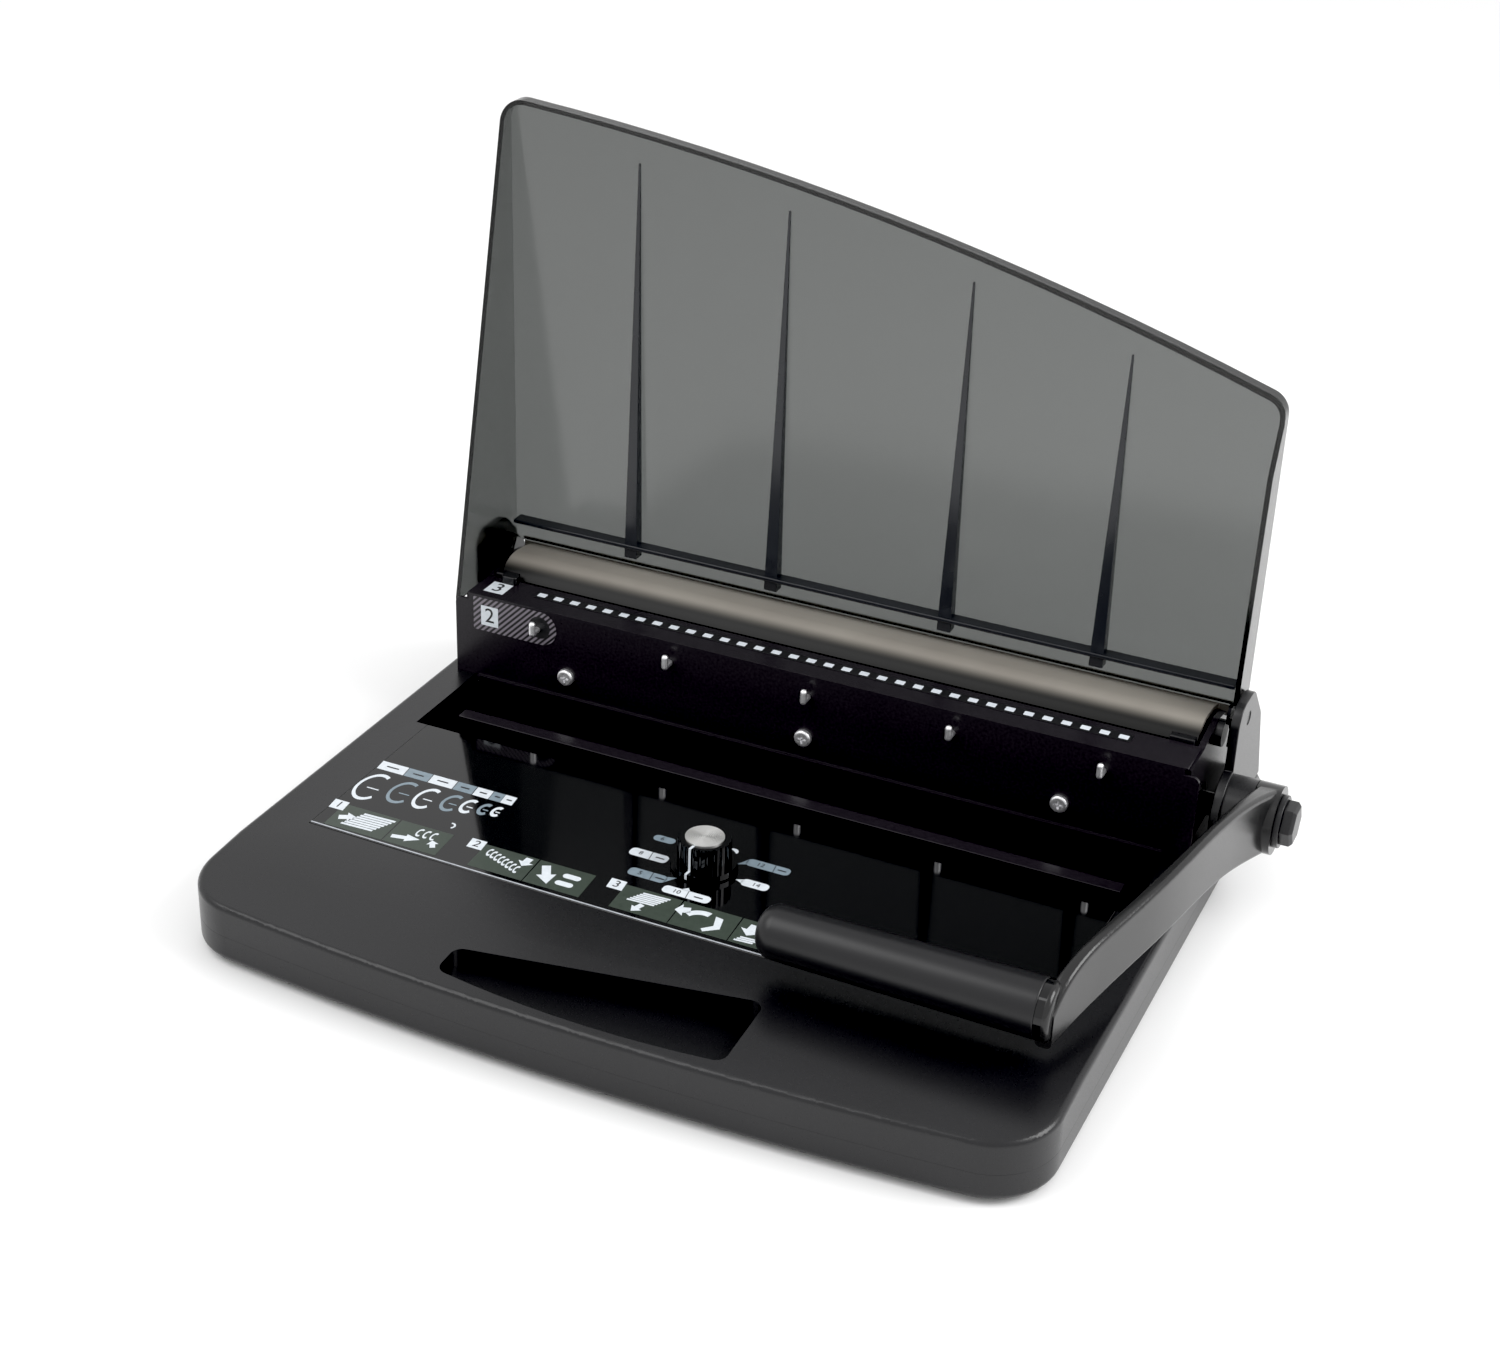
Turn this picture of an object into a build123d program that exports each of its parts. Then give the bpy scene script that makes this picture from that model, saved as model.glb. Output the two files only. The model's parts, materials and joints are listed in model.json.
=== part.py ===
from build123d import *
import os
from math import cos, radians, sin

# A desk machine that punches a row of square holes and closes a wire binding.
# Places are measured from the middle of the line through the base's front corners, at its underside:
# X to the right, Y to the back, Z up. The finished frame has its origin under the middle of the whole.

# Base
base_half = 185.0
base_rear = 319.3
front_bow = 10.7
split_z = 12.8
base_top = 29.8
front_top = 26.2
slope_start = 45.0
rear_slope_deep = 23.3
rear_slope_low = 3.3
rear_slope_y = base_rear - rear_slope_deep
rear_slope_foot = base_rear - rear_slope_low
front_corner = 28.0
rear_corner = 12.0
shell_wall = 3.0
roof = 4.8
edge_round = 2.6
tray_floor = 2.5
tray_round = 4.0
foot_stand = 2.0
foot_radius = 9.0
foot_margin = 25.0
foot_x = base_half - foot_margin
foot_front_y = 22.0
foot_rear_margin = 31.3
foot_rear_y = base_rear - foot_rear_margin
screw_margin = 10.5
screw_x = base_half - screw_margin
screw_front_y = 34.0
screw_middle_y = 140.0
screw_rear_margin = 35.0
screw_rear_x = base_half - screw_rear_margin
screw_rear_inset = 12.3
screw_rear_y = base_rear - screw_rear_inset
post_radius = 4.5
tray_screw_radius = 1.6
tray_head_radius = 3.2
tray_head_low = 0.8
tray_head_high = 2.8
tray_screw_top = 17.0
overrun = 1.0
hole_gap = 0.05
free_gap = 0.3

# Finger recess: its plan, its steep back wall and its rising floor
recess_left = -62.0
recess_right = 62.0
recess_left_front = 0.0
recess_left_back = 15.0
recess_right_front = -2.0
recess_right_back = 36.0
recess_front_bow = 5.5
recess_round = 5.0
recess_deep_z = 15.5
recess_rim_z = 24.0
recess_wall = 2.5

# Working panel and the well behind it
panel_margin = 23.0
panel_half = base_half - panel_margin
panel_front = 63.4
panel_bow = 1.9
panel_rear = 158.2
panel_thick = 2.8
panel_proud = 0.3
panel_gap = 0.2
panel_ledge = 4.0
panel_skirt = 2.5
well_margin = 17.0
well_half = base_half - well_margin
well_floor = 10.0
chassis_thick = 2.0
chassis_margin = 9.0
chassis_half = base_half - chassis_margin
chassis_front = 160.0
chassis_tuck = 2.0
chassis_rear = rear_slope_y + chassis_tuck

# Across the machine, from its side plates inwards to the row of holes
frame_margin = 15.0
frame_in = base_half - frame_margin
frame_thick = 3.0
frame_out = frame_in + frame_thick
rail_wide = 5.0
rail_in = frame_in - rail_wide
bush_flange_thick = 2.0
yoke_gap = 3.0
yoke_wide = 6.0
yoke_out = frame_in - bush_flange_thick - yoke_gap
yoke_in = yoke_out - yoke_wide
bar_half = yoke_in
die_inset = 2.0
die_half = bar_half - die_inset
spacer_wide = 7.0
spacer_in = die_half - spacer_wide
hole_inset = 4.0
hole_pitch = 25.4 / 3
hole_count = int(2 * (spacer_in - hole_inset) / hole_pitch)
hole_middle_x = 0.6

# Front plate and deck
plate_y = 210.3
plate_thick = 1.5
plate_top = 71.9
plate_shoulder = 68.5
plate_margin = 7.5
plate_half = base_half - plate_margin
plate_step = 6.8
plate_top_half = plate_half - plate_step
plate_low_gap = 2.0
plate_low_half = well_half - plate_low_gap
plate_corner = 3.0
crease_proud = 1.5
crease_low = 29.0
crease_high = 30.6
deck_top = 71.5
deck_thick = 1.5
deck_rear = 232.0
deck_inset = 5.5
deck_half = plate_half - deck_inset
ruler_thick = 0.3
ruler_end = 0.9
ruler_half = hole_count * hole_pitch / 2 - ruler_end
ruler_front = 221.0
ruler_back = 227.2
plate_screw_margin = 65.7
plate_screw_x = base_half - plate_screw_margin
plate_screw_z = 40.7
plate_screw_radius = 2.0
plate_head_radius = 4.0
plate_head_high = 2.2
cross_long = 4.2
cross_wide = 1.0
cross_deep = 1.2
hook_x = 1.0
hook_step = hole_count // 4 * hole_pitch
hook_z = 61.4
hook_radius = 1.5
hook_reach = 4.6
hook_rise = 4.4
hook_nut_radius = 3.0
hook_nut = 1.6
rivet_margin = 67.0
rivet_x = base_half - rivet_margin
rivet_z = 19.5
rivet_radius = 3.6
rivet_proud = 0.7
rail_y = 216.8
rail_low = 34.0
rail_high = 47.0

# Throat, dies and pins
die_front = 226.2
throat_gap = 3.2
guide_thick = 5.0
die_low = 51.0
guide_high = 65.0
throat_floor_z = 55.0
pin_z = 59.0
pin_side = 4.0
die_gap = 0.08
pin_tip_y = 227.5
bar_front = 243.2
bar_thick = 9.0
bar_low = 55.0
bar_high = 66.0
guide_rod_inset = 9.0
guide_rod_x = bar_half - guide_rod_inset
guide_rod_z = 61.0
guide_rod_radius = 3.0
tie_front = 266.0
tie_thick = 3.0
tie_low = 50.0
end_block_gap = 0.5
end_block_wide = 11.0
end_block_in = die_half + end_block_gap
end_block_out = end_block_in + end_block_wide
end_block_low = 68.0
end_block_high = 73.5
end_block_rear = 236.2

# Side plates, shaft and what turns with it
frame_front = 213.0
frame_rear_inset = 6.0
frame_rear = rear_slope_y - frame_rear_inset
shaft_y = 238.0
shaft_z = 42.0
shaft_radius = 5.0
shaft_end = 3.0
shaft_left = -frame_out - shaft_end
bush_radius = 8.0
bush_flange = 10.5
lever_angle = 78.0
throw = 6.33
disc_radius = 11.0
disc_inset = 0.3
disc_in = yoke_in + disc_inset
disc_out = yoke_out - disc_inset
yoke_wall = 5.0
yoke_play = 0.3
yoke_low = 40.5
yoke_roof_low = 59.8
yoke_high = 65.0
crank_throw = 12.67
crank_pin_radius = 3.0
crank_play = 0.5
rod_inset = 6.5
rod_wide = 5.0
rod_out = yoke_in - rod_inset
rod_in = rod_out - rod_wide
crank_gap = 0.5
crank_web = 3.0
crank_web_out = rod_in - crank_gap
crank_web_in = crank_web_out - crank_web
crank_pin_out = rod_out + crank_gap
crank_boss = 8.0
crank_eye = 5.0

# Wire closer
rod_low = 23.0
rod_high = 26.0
fork_high = 36.5
fork_wall = 3.0
jaw_front = 178.0
jaw_back = 188.0
jaw_inset = 10.0
jaw_half = well_half - jaw_inset
jaw_high = 26.0
jaw_nose = 3.0
window_gap = 0.5

# Chip drawer
drawer_inset = 0.2
drawer_margin = 39.0
drawer_left = drawer_inset - base_half
drawer_right = base_half - drawer_margin
drawer_front = 216.0
drawer_back = 264.0
drawer_low = 10.4
drawer_high = 22.0
drawer_wall = 1.6
drawer_face = 2.6
drawer_notch = 9.0
drawer_gap = 0.8

# Rear cover, ears and bosses
cover_half = end_block_out
cover_front = 236.5
cover_front_low = 65.5
cover_bend_z = 69.5
cover_crest_y = 254.0
cover_crest_z = 76.3
cover_wall = 2.0
cover_shoulder = (242.0, 74.4)
cover_back = (283.0, 64.0)
cover_rear = rear_slope_y
boss_y = 254.0
boss_z = 68.0
boss_radius = 6.0
ear_thick = 4.0
ear_in = base_half - ear_thick
ear_front = 239.0
ear_top = 88.0
ear_top_back = 262.0
ear_bend = (281.0, 68.0)
ear_rear = rear_slope_y
ear_front_round = 9.0
ear_back_round = 12.0
bearing_lobe = 17.0

# Lid, stored open
hinge_y = 256.0
hinge_z = 77.0
sheet_inner_y = 269.0
sheet_thick = 2.2
skirt_thick = 2.2
lid_gap = 0.6
lid_outer_half = ear_in - lid_gap
lid_inner_half = lid_outer_half - skirt_thick
lid_bottom = 73.7
skirt_foot = 78.0
lid_left_top = 289.3
lid_middle_top = 264.6
lid_right_top = 216.1
lid_corner = 10.0
lip_deep = 4.0
skirt_lip = 8.2
skirt_in = lid_inner_half - skirt_lip
left_skirt_low_y = 218.2
right_skirt_low_y = 252.0
right_skirt_high_y = 257.0
right_skirt_drop = 30.0
lobe_radius = 7.0
cheek_low = 64.0
left_cheek_y = 215.0
right_cheek_y = 250.0
lid_pin_radius = 3.0
lid_pin_head = 1.5
lid_pin_head_radius = 5.0
lid_pin_short = 0.4
lid_pin_in = lid_inner_half - free_gap
lid_pin_out = base_half - lid_pin_short
boss_out = lid_pin_in - lid_pin_head - free_gap
rib_places = ((-114.0, 268.0), (-42.0, 258.5), (43.0, 241.7), (114.0, 223.0))
rib_thick = 4.4
rib_tip_thick = 1.2
rib_deep = 5.8
rib_tip_deep = 0.8
rib_low = 80.0
shelf_low = 85.0
shelf_thick = 2.0
shelf_deep = 7.0
shelf_gap = 2.2
shelf_half = lid_inner_half - shelf_gap

# Lever: the arm's sides, as depths and distances from the base's side, and its top and underside
arm_out_places = ((47.5, -13.9), (93.0, -3.5), (124.0, 4.3), (190.0, 13.3), (240.0, 22.0))
arm_in_places = ((47.5, -20.4), (93.0, -9.2), (124.0, -1.4), (190.0, 7.6), (240.0, 11.3))
arm_top_places = ((47.5, 53.0), (60.0, 63.0), (93.0, 69.2), (128.0, 72.2), (190.0, 67.6), (238.0, 56.6))
arm_low_places = ((47.5, 36.8), (77.0, 40.2), (123.0, 45.0), (181.0, 41.0), (224.0, 30.6), (238.0, 27.4))
arm_round = 2.2
bearing_long = 11.0
bearing_out = base_half + bearing_long
hub_thick = 10.7
hub_in = bearing_out + free_gap
hub_out = hub_in + hub_thick
hub_radius = 15.0
collar_radius = 11.5
collar_thick = 2.5
cap_thick = 5.5
cap_out = hub_out + collar_thick + cap_thick
cap_radius = 9.8
cap_chamfer = 1.4
grip_y = 53.0
grip_z = 50.0
grip_margin = 20.0
grip_long = 114.0
grip_right = base_half - grip_margin
grip_left = grip_right - grip_long
grip_left_radius = 11.0
grip_right_radius = 12.0
grip_tip_round = 7.5
grip_end_round = 0.8
elbow_long = 3.0
head_long = 2.6
elbow_right = grip_right + elbow_long
head_right = elbow_right + head_long
elbow_radius = 11.8
elbow_round = 2.4
core_radius = 4.0
core_inset = 11.0
core_short = 0.5
core_left = grip_left + core_inset
core_right = elbow_right - core_short

# Dial
dial_y = 110.0
knob_low = 30.8
knob_skirt_high = 33.4
knob_high = 44.2
knob_skirt_radius = 14.0
knob_radius = 11.3
flute_count = 24
flute_radius = 0.85
knob_cap_radius = 8.2
knob_cap_thick = 0.6
spindle_radius = 3.0
spindle_low = 12.3
spindle_high = 40.0
dial_bush_radius = 5.5
dial_bush_low = 22.0
cam_low = 13.2
cam_high = 17.2
cam_radius = 12.0
cam_rise = 0.95
cam_reach_angle = 165.0
cam_step_angle = 15.0
bracket_half = 20.0
bracket_front = 94.0
bracket_rear = 152.0
bracket_low = 10.0
bracket_thick = 2.0
bracket_post_x = 16.5
bracket_post_front_y = 97.5
bracket_post_rear_y = 148.5
bracket_post_radius = 3.0
stop_half = 8.0
stop_rear = 155.2
stop_nose_half = 1.5
stop_nose = 5.0
cam_gap = 0.4

# Edge guide
edge_margin = 22.0
edge_wide = 8.0
edge_left = edge_margin - base_half
edge_right = edge_left + edge_wide
edge_front = 226.8
edge_back = 231.6
edge_high = 75.2
edge_round_share = 0.4

# Frame: origin under the middle of the whole machine, on the surface it stands on
origin_x = -(cap_out - base_half) / 2
origin_y = -(base_rear - front_bow) / 2
origin_z = foot_stand

cavity_top = base_top - roof
front_cavity_top = front_top - roof
panel_seat = base_top - panel_thick
deck_low = deck_top - deck_thick
guide_front = deck_rear + throat_gap
guide_rear = guide_front + guide_thick
bar_rear = bar_front + bar_thick
half_swing = radians(lever_angle / 2)
lid_lip_y = sheet_inner_y - lip_deep
left_free_edge = ((left_skirt_low_y, skirt_foot), (lid_lip_y, lid_left_top))
right_free_edge = (
    (right_skirt_low_y, skirt_foot),
    (right_skirt_high_y, lid_right_top - right_skirt_drop),
    (lid_lip_y, lid_right_top - lid_corner),
)
hole_places = [hole_middle_x + (i - (hole_count - 1) / 2) * hole_pitch for i in range(hole_count)]
plate_screw_places = [(x, plate_screw_z) for x in (-plate_screw_x, 0, plate_screw_x)]
hook_places = [hook_x + i * hook_step for i in (-2, -1, 0, 1, 2)]
screw_places = [
    (side * x, y)
    for side in (-1, 1)
    for x, y in (
        (screw_x, screw_front_y),
        (screw_x, screw_middle_y),
        (screw_rear_x, screw_rear_y),
    )
]


def level(z):
    """The horizontal plane at a height."""
    return Plane(origin=(origin_x, origin_y, origin_z + z))


def section(x):
    """The upright plane across the machine's width at x, with Y and Z as its own axes."""
    return Plane(origin=(origin_x + x, origin_y, origin_z), x_dir=(0, 1, 0), z_dir=(1, 0, 0))


def facing(y):
    """The upright plane at a depth, with X and Z as its own axes, looking to the front."""
    return Plane(origin=(origin_x, origin_y + y, origin_z), x_dir=(1, 0, 0), z_dir=(0, -1, 0))


def spot(x, y, z):
    return (origin_x + x, origin_y + y, origin_z + z)


def block(x, y, z, mode=Mode.ADD):
    """A box between pairs of limits, in the open part."""
    with Locations(spot(sum(x) / 2, sum(y) / 2, sum(z) / 2)):
        Box(abs(x[1] - x[0]), abs(y[1] - y[0]), abs(z[1] - z[0]), mode=mode)


def rod_x(radius, x, y, z, mode=Mode.ADD):
    """A round bar along X."""
    with Locations(spot(sum(x) / 2, y, z)):
        Cylinder(radius, abs(x[1] - x[0]), rotation=(0, 90, 0), mode=mode)


def rod_y(radius, x, y, z, mode=Mode.ADD):
    """A round bar along Y."""
    with Locations(spot(x, sum(y) / 2, z)):
        Cylinder(radius, abs(y[1] - y[0]), rotation=(90, 0, 0), mode=mode)


def rod_z(radius, x, y, z, mode=Mode.ADD):
    """A round bar along Z."""
    with Locations(spot(x, y, sum(z) / 2)):
        Cylinder(radius, abs(z[1] - z[0]), mode=mode)


def base_plan():
    """The base's plan: straight sides, a bowed front and rounded corners, in the open sketch."""
    with BuildLine() as outline:
        ThreePointArc((-base_half, 0), (0, -front_bow), (base_half, 0))
        Polyline((base_half, 0), (base_half, base_rear), (-base_half, base_rear), (-base_half, 0))
    make_face(outline.edges())
    corners = vertices().sort_by(Axis.Y)
    fillet(corners[0:2], front_corner)
    fillet(vertices().sort_by(Axis.Y)[-2:], rear_corner)


def recess_plan():
    """The finger recess in plan, wider at its right end, in the open sketch."""
    with BuildLine() as outline:
        ThreePointArc(
            (recess_left, recess_left_front),
            (0, -recess_front_bow),
            (recess_right, recess_right_front),
        )
        Polyline(
            (recess_right, recess_right_front),
            (recess_right, recess_right_back),
            (recess_left, recess_left_back),
            (recess_left, recess_left_front),
        )
    make_face(outline.edges())
    fillet(vertices(), recess_round)


# Base casings
def panel_plan(grow):
    """The working panel's outline, bowed along its front and grown by a clearance, in the open sketch."""
    half = panel_half + grow
    front = panel_front - grow
    with BuildLine() as outline:
        ThreePointArc((-half, front), (0, front - panel_bow), (half, front))
        Polyline((half, front), (half, panel_rear + grow), (-half, panel_rear + grow), (-half, front))
    make_face(outline.edges())


with BuildPart() as recess_tool:
    with BuildSketch(level(recess_deep_z)):
        recess_plan()
    extrude(amount=base_top - recess_deep_z + overrun)
    with BuildSketch(section(recess_left - overrun)):
        with BuildLine():
            Polyline(
                (-front_bow, recess_rim_z),
                (recess_right_back, recess_deep_z),
                (recess_right_back, recess_deep_z - overrun),
                (-front_bow, recess_deep_z - overrun),
                close=True,
            )
        make_face()
    extrude(amount=recess_right - recess_left + 2 * overrun, mode=Mode.SUBTRACT)

with BuildPart() as base_shell:
    with BuildSketch(level(split_z)):
        base_plan()
    extrude(amount=base_top - split_z)
    with BuildSketch(section(-base_half - overrun)):
        with BuildLine():
            Polyline(
                (-front_bow - overrun, base_top + overrun),
                (-front_bow - overrun, front_top),
                (slope_start, base_top),
                (slope_start, base_top + overrun),
                close=True,
            )
        make_face()
        with BuildLine():
            Polyline(
                (base_rear + overrun, base_top + overrun),
                (rear_slope_y, base_top + overrun),
                (rear_slope_y, base_top),
                (rear_slope_foot, split_z),
                (base_rear + overrun, split_z),
                close=True,
            )
        make_face()
    extrude(amount=2 * (base_half + overrun), mode=Mode.SUBTRACT)
    rim = [
        e
        for e in base_shell.edges()
        if e.center().Z > origin_z + split_z + edge_round
        and (abs(e.center().X - origin_x) > overrun or e.center().Y < origin_y)
        and abs(e.tangent_at(0.5).Z) < 0.98
    ]
    fillet(rim, edge_round)
    with BuildSketch(level(split_z)):
        base_plan()
        offset(amount=-shell_wall, mode=Mode.REPLACE)
        with Locations((0, base_rear)):
            Rectangle(2 * base_half, 2 * (base_rear - rear_slope_y), mode=Mode.SUBTRACT)
    extrude(amount=front_cavity_top - split_z, mode=Mode.SUBTRACT)
    block(
        (shell_wall - base_half, base_half - shell_wall),
        (slope_start, 2 * rear_slope_y - base_rear),
        (front_cavity_top - overrun, cavity_top),
        Mode.SUBTRACT,
    )
    with BuildSketch(level(split_z)):
        recess_plan()
        offset(amount=recess_wall, mode=Mode.REPLACE)
    extrude(amount=front_cavity_top - split_z + overrun / 2)
    for x, y in screw_places:
        rod_z(post_radius, x, y, (split_z, tray_screw_top))
        if y < rear_slope_y:
            rod_z(post_radius, x, y, (tray_screw_top, front_cavity_top + overrun))
    for x, y in screw_places:
        if y > slope_start and y < rear_slope_y:
            rod_z(post_radius, x, y, (front_cavity_top, cavity_top + overrun))
        rod_z(
            tray_screw_radius + hole_gap,
            x,
            y,
            (split_z - overrun, tray_screw_top + hole_gap),
            Mode.SUBTRACT,
        )
    add(recess_tool.part, mode=Mode.SUBTRACT)
    with BuildSketch(level(panel_seat)):
        panel_plan(panel_gap)
    extrude(amount=base_top + overrun - panel_seat, mode=Mode.SUBTRACT)
    block(
        (panel_ledge - panel_half, panel_half - panel_ledge),
        (panel_front + panel_ledge, panel_rear + panel_gap),
        (split_z, base_top),
        Mode.SUBTRACT,
    )
    block(
        (-well_half, well_half),
        (panel_rear, plate_y + plate_thick),
        (split_z, base_top + overrun),
        Mode.SUBTRACT,
    )
    block(
        (-frame_out - overrun, frame_out + overrun),
        (plate_y + plate_thick, chassis_rear - 2 * shell_wall),
        (split_z, base_top + overrun),
        Mode.SUBTRACT,
    )
    block(
        (-base_half - overrun, overrun - base_half + 2 * shell_wall),
        (drawer_front - drawer_gap, drawer_back + drawer_gap),
        (split_z - overrun, drawer_high + drawer_gap),
        Mode.SUBTRACT,
    )

with BuildPart() as bottom_tray:
    with BuildSketch(level(0)):
        base_plan()
    extrude(amount=split_z)
    fillet(bottom_tray.faces().sort_by(Axis.Z)[0].edges(), tray_round)
    with BuildSketch(level(tray_floor)):
        base_plan()
        offset(amount=-shell_wall, mode=Mode.REPLACE)
    extrude(amount=split_z, mode=Mode.SUBTRACT)
    for side in (-1, 1):
        block(
            (side * rail_in, side * frame_in),
            (chassis_front, chassis_rear),
            (tray_floor - overrun, well_floor - chassis_thick),
        )
    for x, y in screw_places:
        rod_z(post_radius, x, y, (tray_floor - overrun, split_z))
        rod_z(tray_screw_radius + hole_gap, x, y, (-overrun, split_z + overrun), Mode.SUBTRACT)
        rod_z(tray_head_radius + hole_gap, x, y, (-overrun, tray_head_high), Mode.SUBTRACT)
    block(
        (-base_half - overrun, overrun - base_half + shell_wall),
        (drawer_front - drawer_gap, drawer_back + drawer_gap),
        (well_floor, split_z + overrun),
        Mode.SUBTRACT,
    )

with BuildPart() as rubber_feet:
    for x in (-foot_x, foot_x):
        for y in (foot_front_y, foot_rear_y):
            rod_z(foot_radius, x, y, (-foot_stand, 0))

with BuildPart() as tray_screws:
    for x, y in screw_places:
        rod_z(tray_head_radius, x, y, (tray_head_low, tray_head_high))
        rod_z(tray_screw_radius, x, y, (tray_head_high, tray_screw_top))

# Working panel: a plate let into the base, with a skirt that walls the well
with BuildPart() as gloss_panel:
    with BuildSketch(level(panel_seat)):
        panel_plan(0)
    extrude(amount=base_top + panel_proud - panel_seat)
    block(
        (2 * panel_ledge - panel_half, panel_half - 2 * panel_ledge),
        (panel_rear - panel_skirt, panel_rear),
        (well_floor, panel_seat),
    )
    block(
        (-stop_half - overrun, stop_half + overrun),
        (panel_rear - panel_skirt - overrun, panel_rear + overrun),
        (well_floor, cam_high + overrun),
        Mode.SUBTRACT,
    )
    rod_z(dial_bush_radius + hole_gap, 0, dial_y, (panel_seat - overrun, base_top + overrun), Mode.SUBTRACT)

# Steel carcass
with BuildPart() as chassis_plate:
    block(
        (-chassis_half, chassis_half),
        (chassis_front, chassis_rear),
        (well_floor - chassis_thick, well_floor),
    )


def frame_outline():
    """A side plate's outline, under the deck in front and along the cover behind, in the open sketch."""
    with BuildLine() as outline:
        Polyline(
            (frame_front, well_floor),
            (frame_front, deck_low),
            (deck_rear, deck_low),
            (cover_front, deck_top),
            (cover_crest_y, cover_crest_z - cover_wall),
            (tie_front, cover_crest_z - 2 * cover_wall),
            (cover_back[0], cover_back[1] - 2 * cover_wall),
            (frame_rear, base_top),
            (frame_rear, well_floor),
            close=True,
        )
    make_face(outline.edges())


with BuildPart() as left_frame:
    with BuildSketch(section(-frame_out)):
        frame_outline()
        with Locations((shaft_y, shaft_z)):
            Circle(bush_radius + hole_gap, mode=Mode.SUBTRACT)
    extrude(amount=frame_thick)
    block(
        (-frame_out - overrun, overrun - frame_in),
        (drawer_front - drawer_gap, drawer_back + drawer_gap),
        (well_floor - overrun, drawer_high + drawer_gap),
        Mode.SUBTRACT,
    )

with BuildPart() as right_frame:
    with BuildSketch(section(frame_in)):
        frame_outline()
        with Locations((shaft_y, shaft_z)):
            Circle(bush_radius + hole_gap, mode=Mode.SUBTRACT)
    extrude(amount=frame_thick)

with BuildPart() as shaft_bushes:
    for side in (-1, 1):
        rod_x(bush_radius, (side * frame_in, side * frame_out), shaft_y, shaft_z)
        rod_x(bush_flange, (side * (frame_in - bush_flange_thick), side * frame_in), shaft_y, shaft_z)
        bore = (side * (frame_in - 2 * bush_flange_thick), side * base_half)
        rod_x(shaft_radius + hole_gap, bore, shaft_y, shaft_z, Mode.SUBTRACT)

# Front plate with its crease, screws, hooks and rivets
with BuildPart() as front_plate:
    with BuildSketch(facing(plate_y)):
        with BuildLine():
            Polyline(
                (-plate_low_half, well_floor),
                (-plate_low_half, base_top),
                (-plate_half, base_top),
                (-plate_half, plate_shoulder),
                (-plate_top_half, plate_shoulder),
                (-plate_top_half, plate_top),
                (plate_top_half, plate_top),
                (plate_top_half, plate_shoulder),
                (plate_half, plate_shoulder),
                (plate_half, base_top),
                (plate_low_half, base_top),
                (plate_low_half, well_floor),
                close=True,
            )
        make_face()
        outer = [v for v in vertices() if abs(v.X) > plate_top_half and v.Y > base_top]
        fillet(outer, plate_corner)
        for x, z in plate_screw_places:
            with Locations((x, z)):
                Circle(plate_screw_radius + hole_gap, mode=Mode.SUBTRACT)
        for x in hook_places:
            with Locations((x, hook_z)):
                Circle(hook_radius + hole_gap, mode=Mode.SUBTRACT)
    extrude(amount=-plate_thick)
    block((-plate_low_half, plate_low_half), (plate_y - crease_proud, plate_y), (crease_low, crease_high))
    for side in (-1, 1):
        block(
            (side * (rod_in - window_gap), side * (rod_out + window_gap)),
            (plate_y - overrun, plate_y + plate_thick + overrun),
            (rod_low - window_gap, rod_high + window_gap),
            Mode.SUBTRACT,
        )

with BuildPart() as lower_rail:
    block((-frame_in, frame_in), (plate_y + plate_thick, rail_y), (rail_low, rail_high))
    for x, z in plate_screw_places:
        rod_y(plate_screw_radius + hole_gap, x, (plate_y, rail_y + overrun), z, Mode.SUBTRACT)

with BuildPart() as front_plate_screws:
    for x, z in plate_screw_places:
        rod_y(plate_head_radius, x, (plate_y - plate_head_high, plate_y), z)
        rod_y(plate_screw_radius, x, (plate_y, rail_y), z)
    rims = front_plate_screws.faces().filter_by(Axis.Y).group_by(Axis.Y)[0].edges()
    fillet(rims, plate_head_high / 2)
    for x, z in plate_screw_places:
        for long, high in ((cross_long, cross_wide), (cross_wide, cross_long)):
            block(
                (x - long / 2, x + long / 2),
                (plate_y - plate_head_high - overrun, plate_y - plate_head_high + cross_deep),
                (z - high / 2, z + high / 2),
                Mode.SUBTRACT,
            )

with BuildPart() as wire_hook_pins:
    for x in hook_places:
        rod_y(hook_radius, x, (plate_y - hook_reach, plate_y + plate_thick), hook_z)
        rod_y(hook_nut_radius, x, (plate_y + plate_thick, plate_y + plate_thick + hook_nut), hook_z)
        rod_z(hook_radius, x, plate_y - hook_reach, (hook_z, hook_z + hook_rise))
        with Locations(
            spot(x, plate_y - hook_reach, hook_z),
            spot(x, plate_y - hook_reach, hook_z + hook_rise),
        ):
            Sphere(hook_radius)

with BuildPart() as plate_rivets:
    for x in (-rivet_x, 0, rivet_x):
        rod_y(rivet_radius, x, (plate_y - rivet_proud, plate_y), rivet_z)

# Deck, ruler and paper throat
with BuildPart() as top_deck:
    block((-deck_half, deck_half), (plate_y + plate_thick, deck_rear), (deck_low, deck_top))

with BuildPart() as ruler_strip:
    block(
        (hole_middle_x - ruler_half, hole_middle_x + ruler_half),
        (ruler_front, ruler_back),
        (deck_top, deck_top + ruler_thick),
    )

with BuildPart() as die_plate:
    block((-die_half, die_half), (die_front, deck_rear), (die_low, deck_low))
    with BuildSketch(facing(die_front - overrun)):
        with Locations(*[(x, pin_z) for x in hole_places]):
            Rectangle(pin_side + 2 * die_gap, pin_side + 2 * die_gap)
    extrude(amount=overrun - deck_rear + die_front - 3 * overrun, mode=Mode.SUBTRACT)

with BuildPart() as guide_plate:
    block((-die_half, die_half), (guide_front, guide_rear), (die_low, guide_high))
    with BuildSketch(facing(guide_front - overrun)):
        with Locations(*[(x, pin_z) for x in hole_places]):
            Rectangle(pin_side + 2 * die_gap, pin_side + 2 * die_gap)
    extrude(amount=-guide_thick - 2 * overrun, mode=Mode.SUBTRACT)

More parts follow.
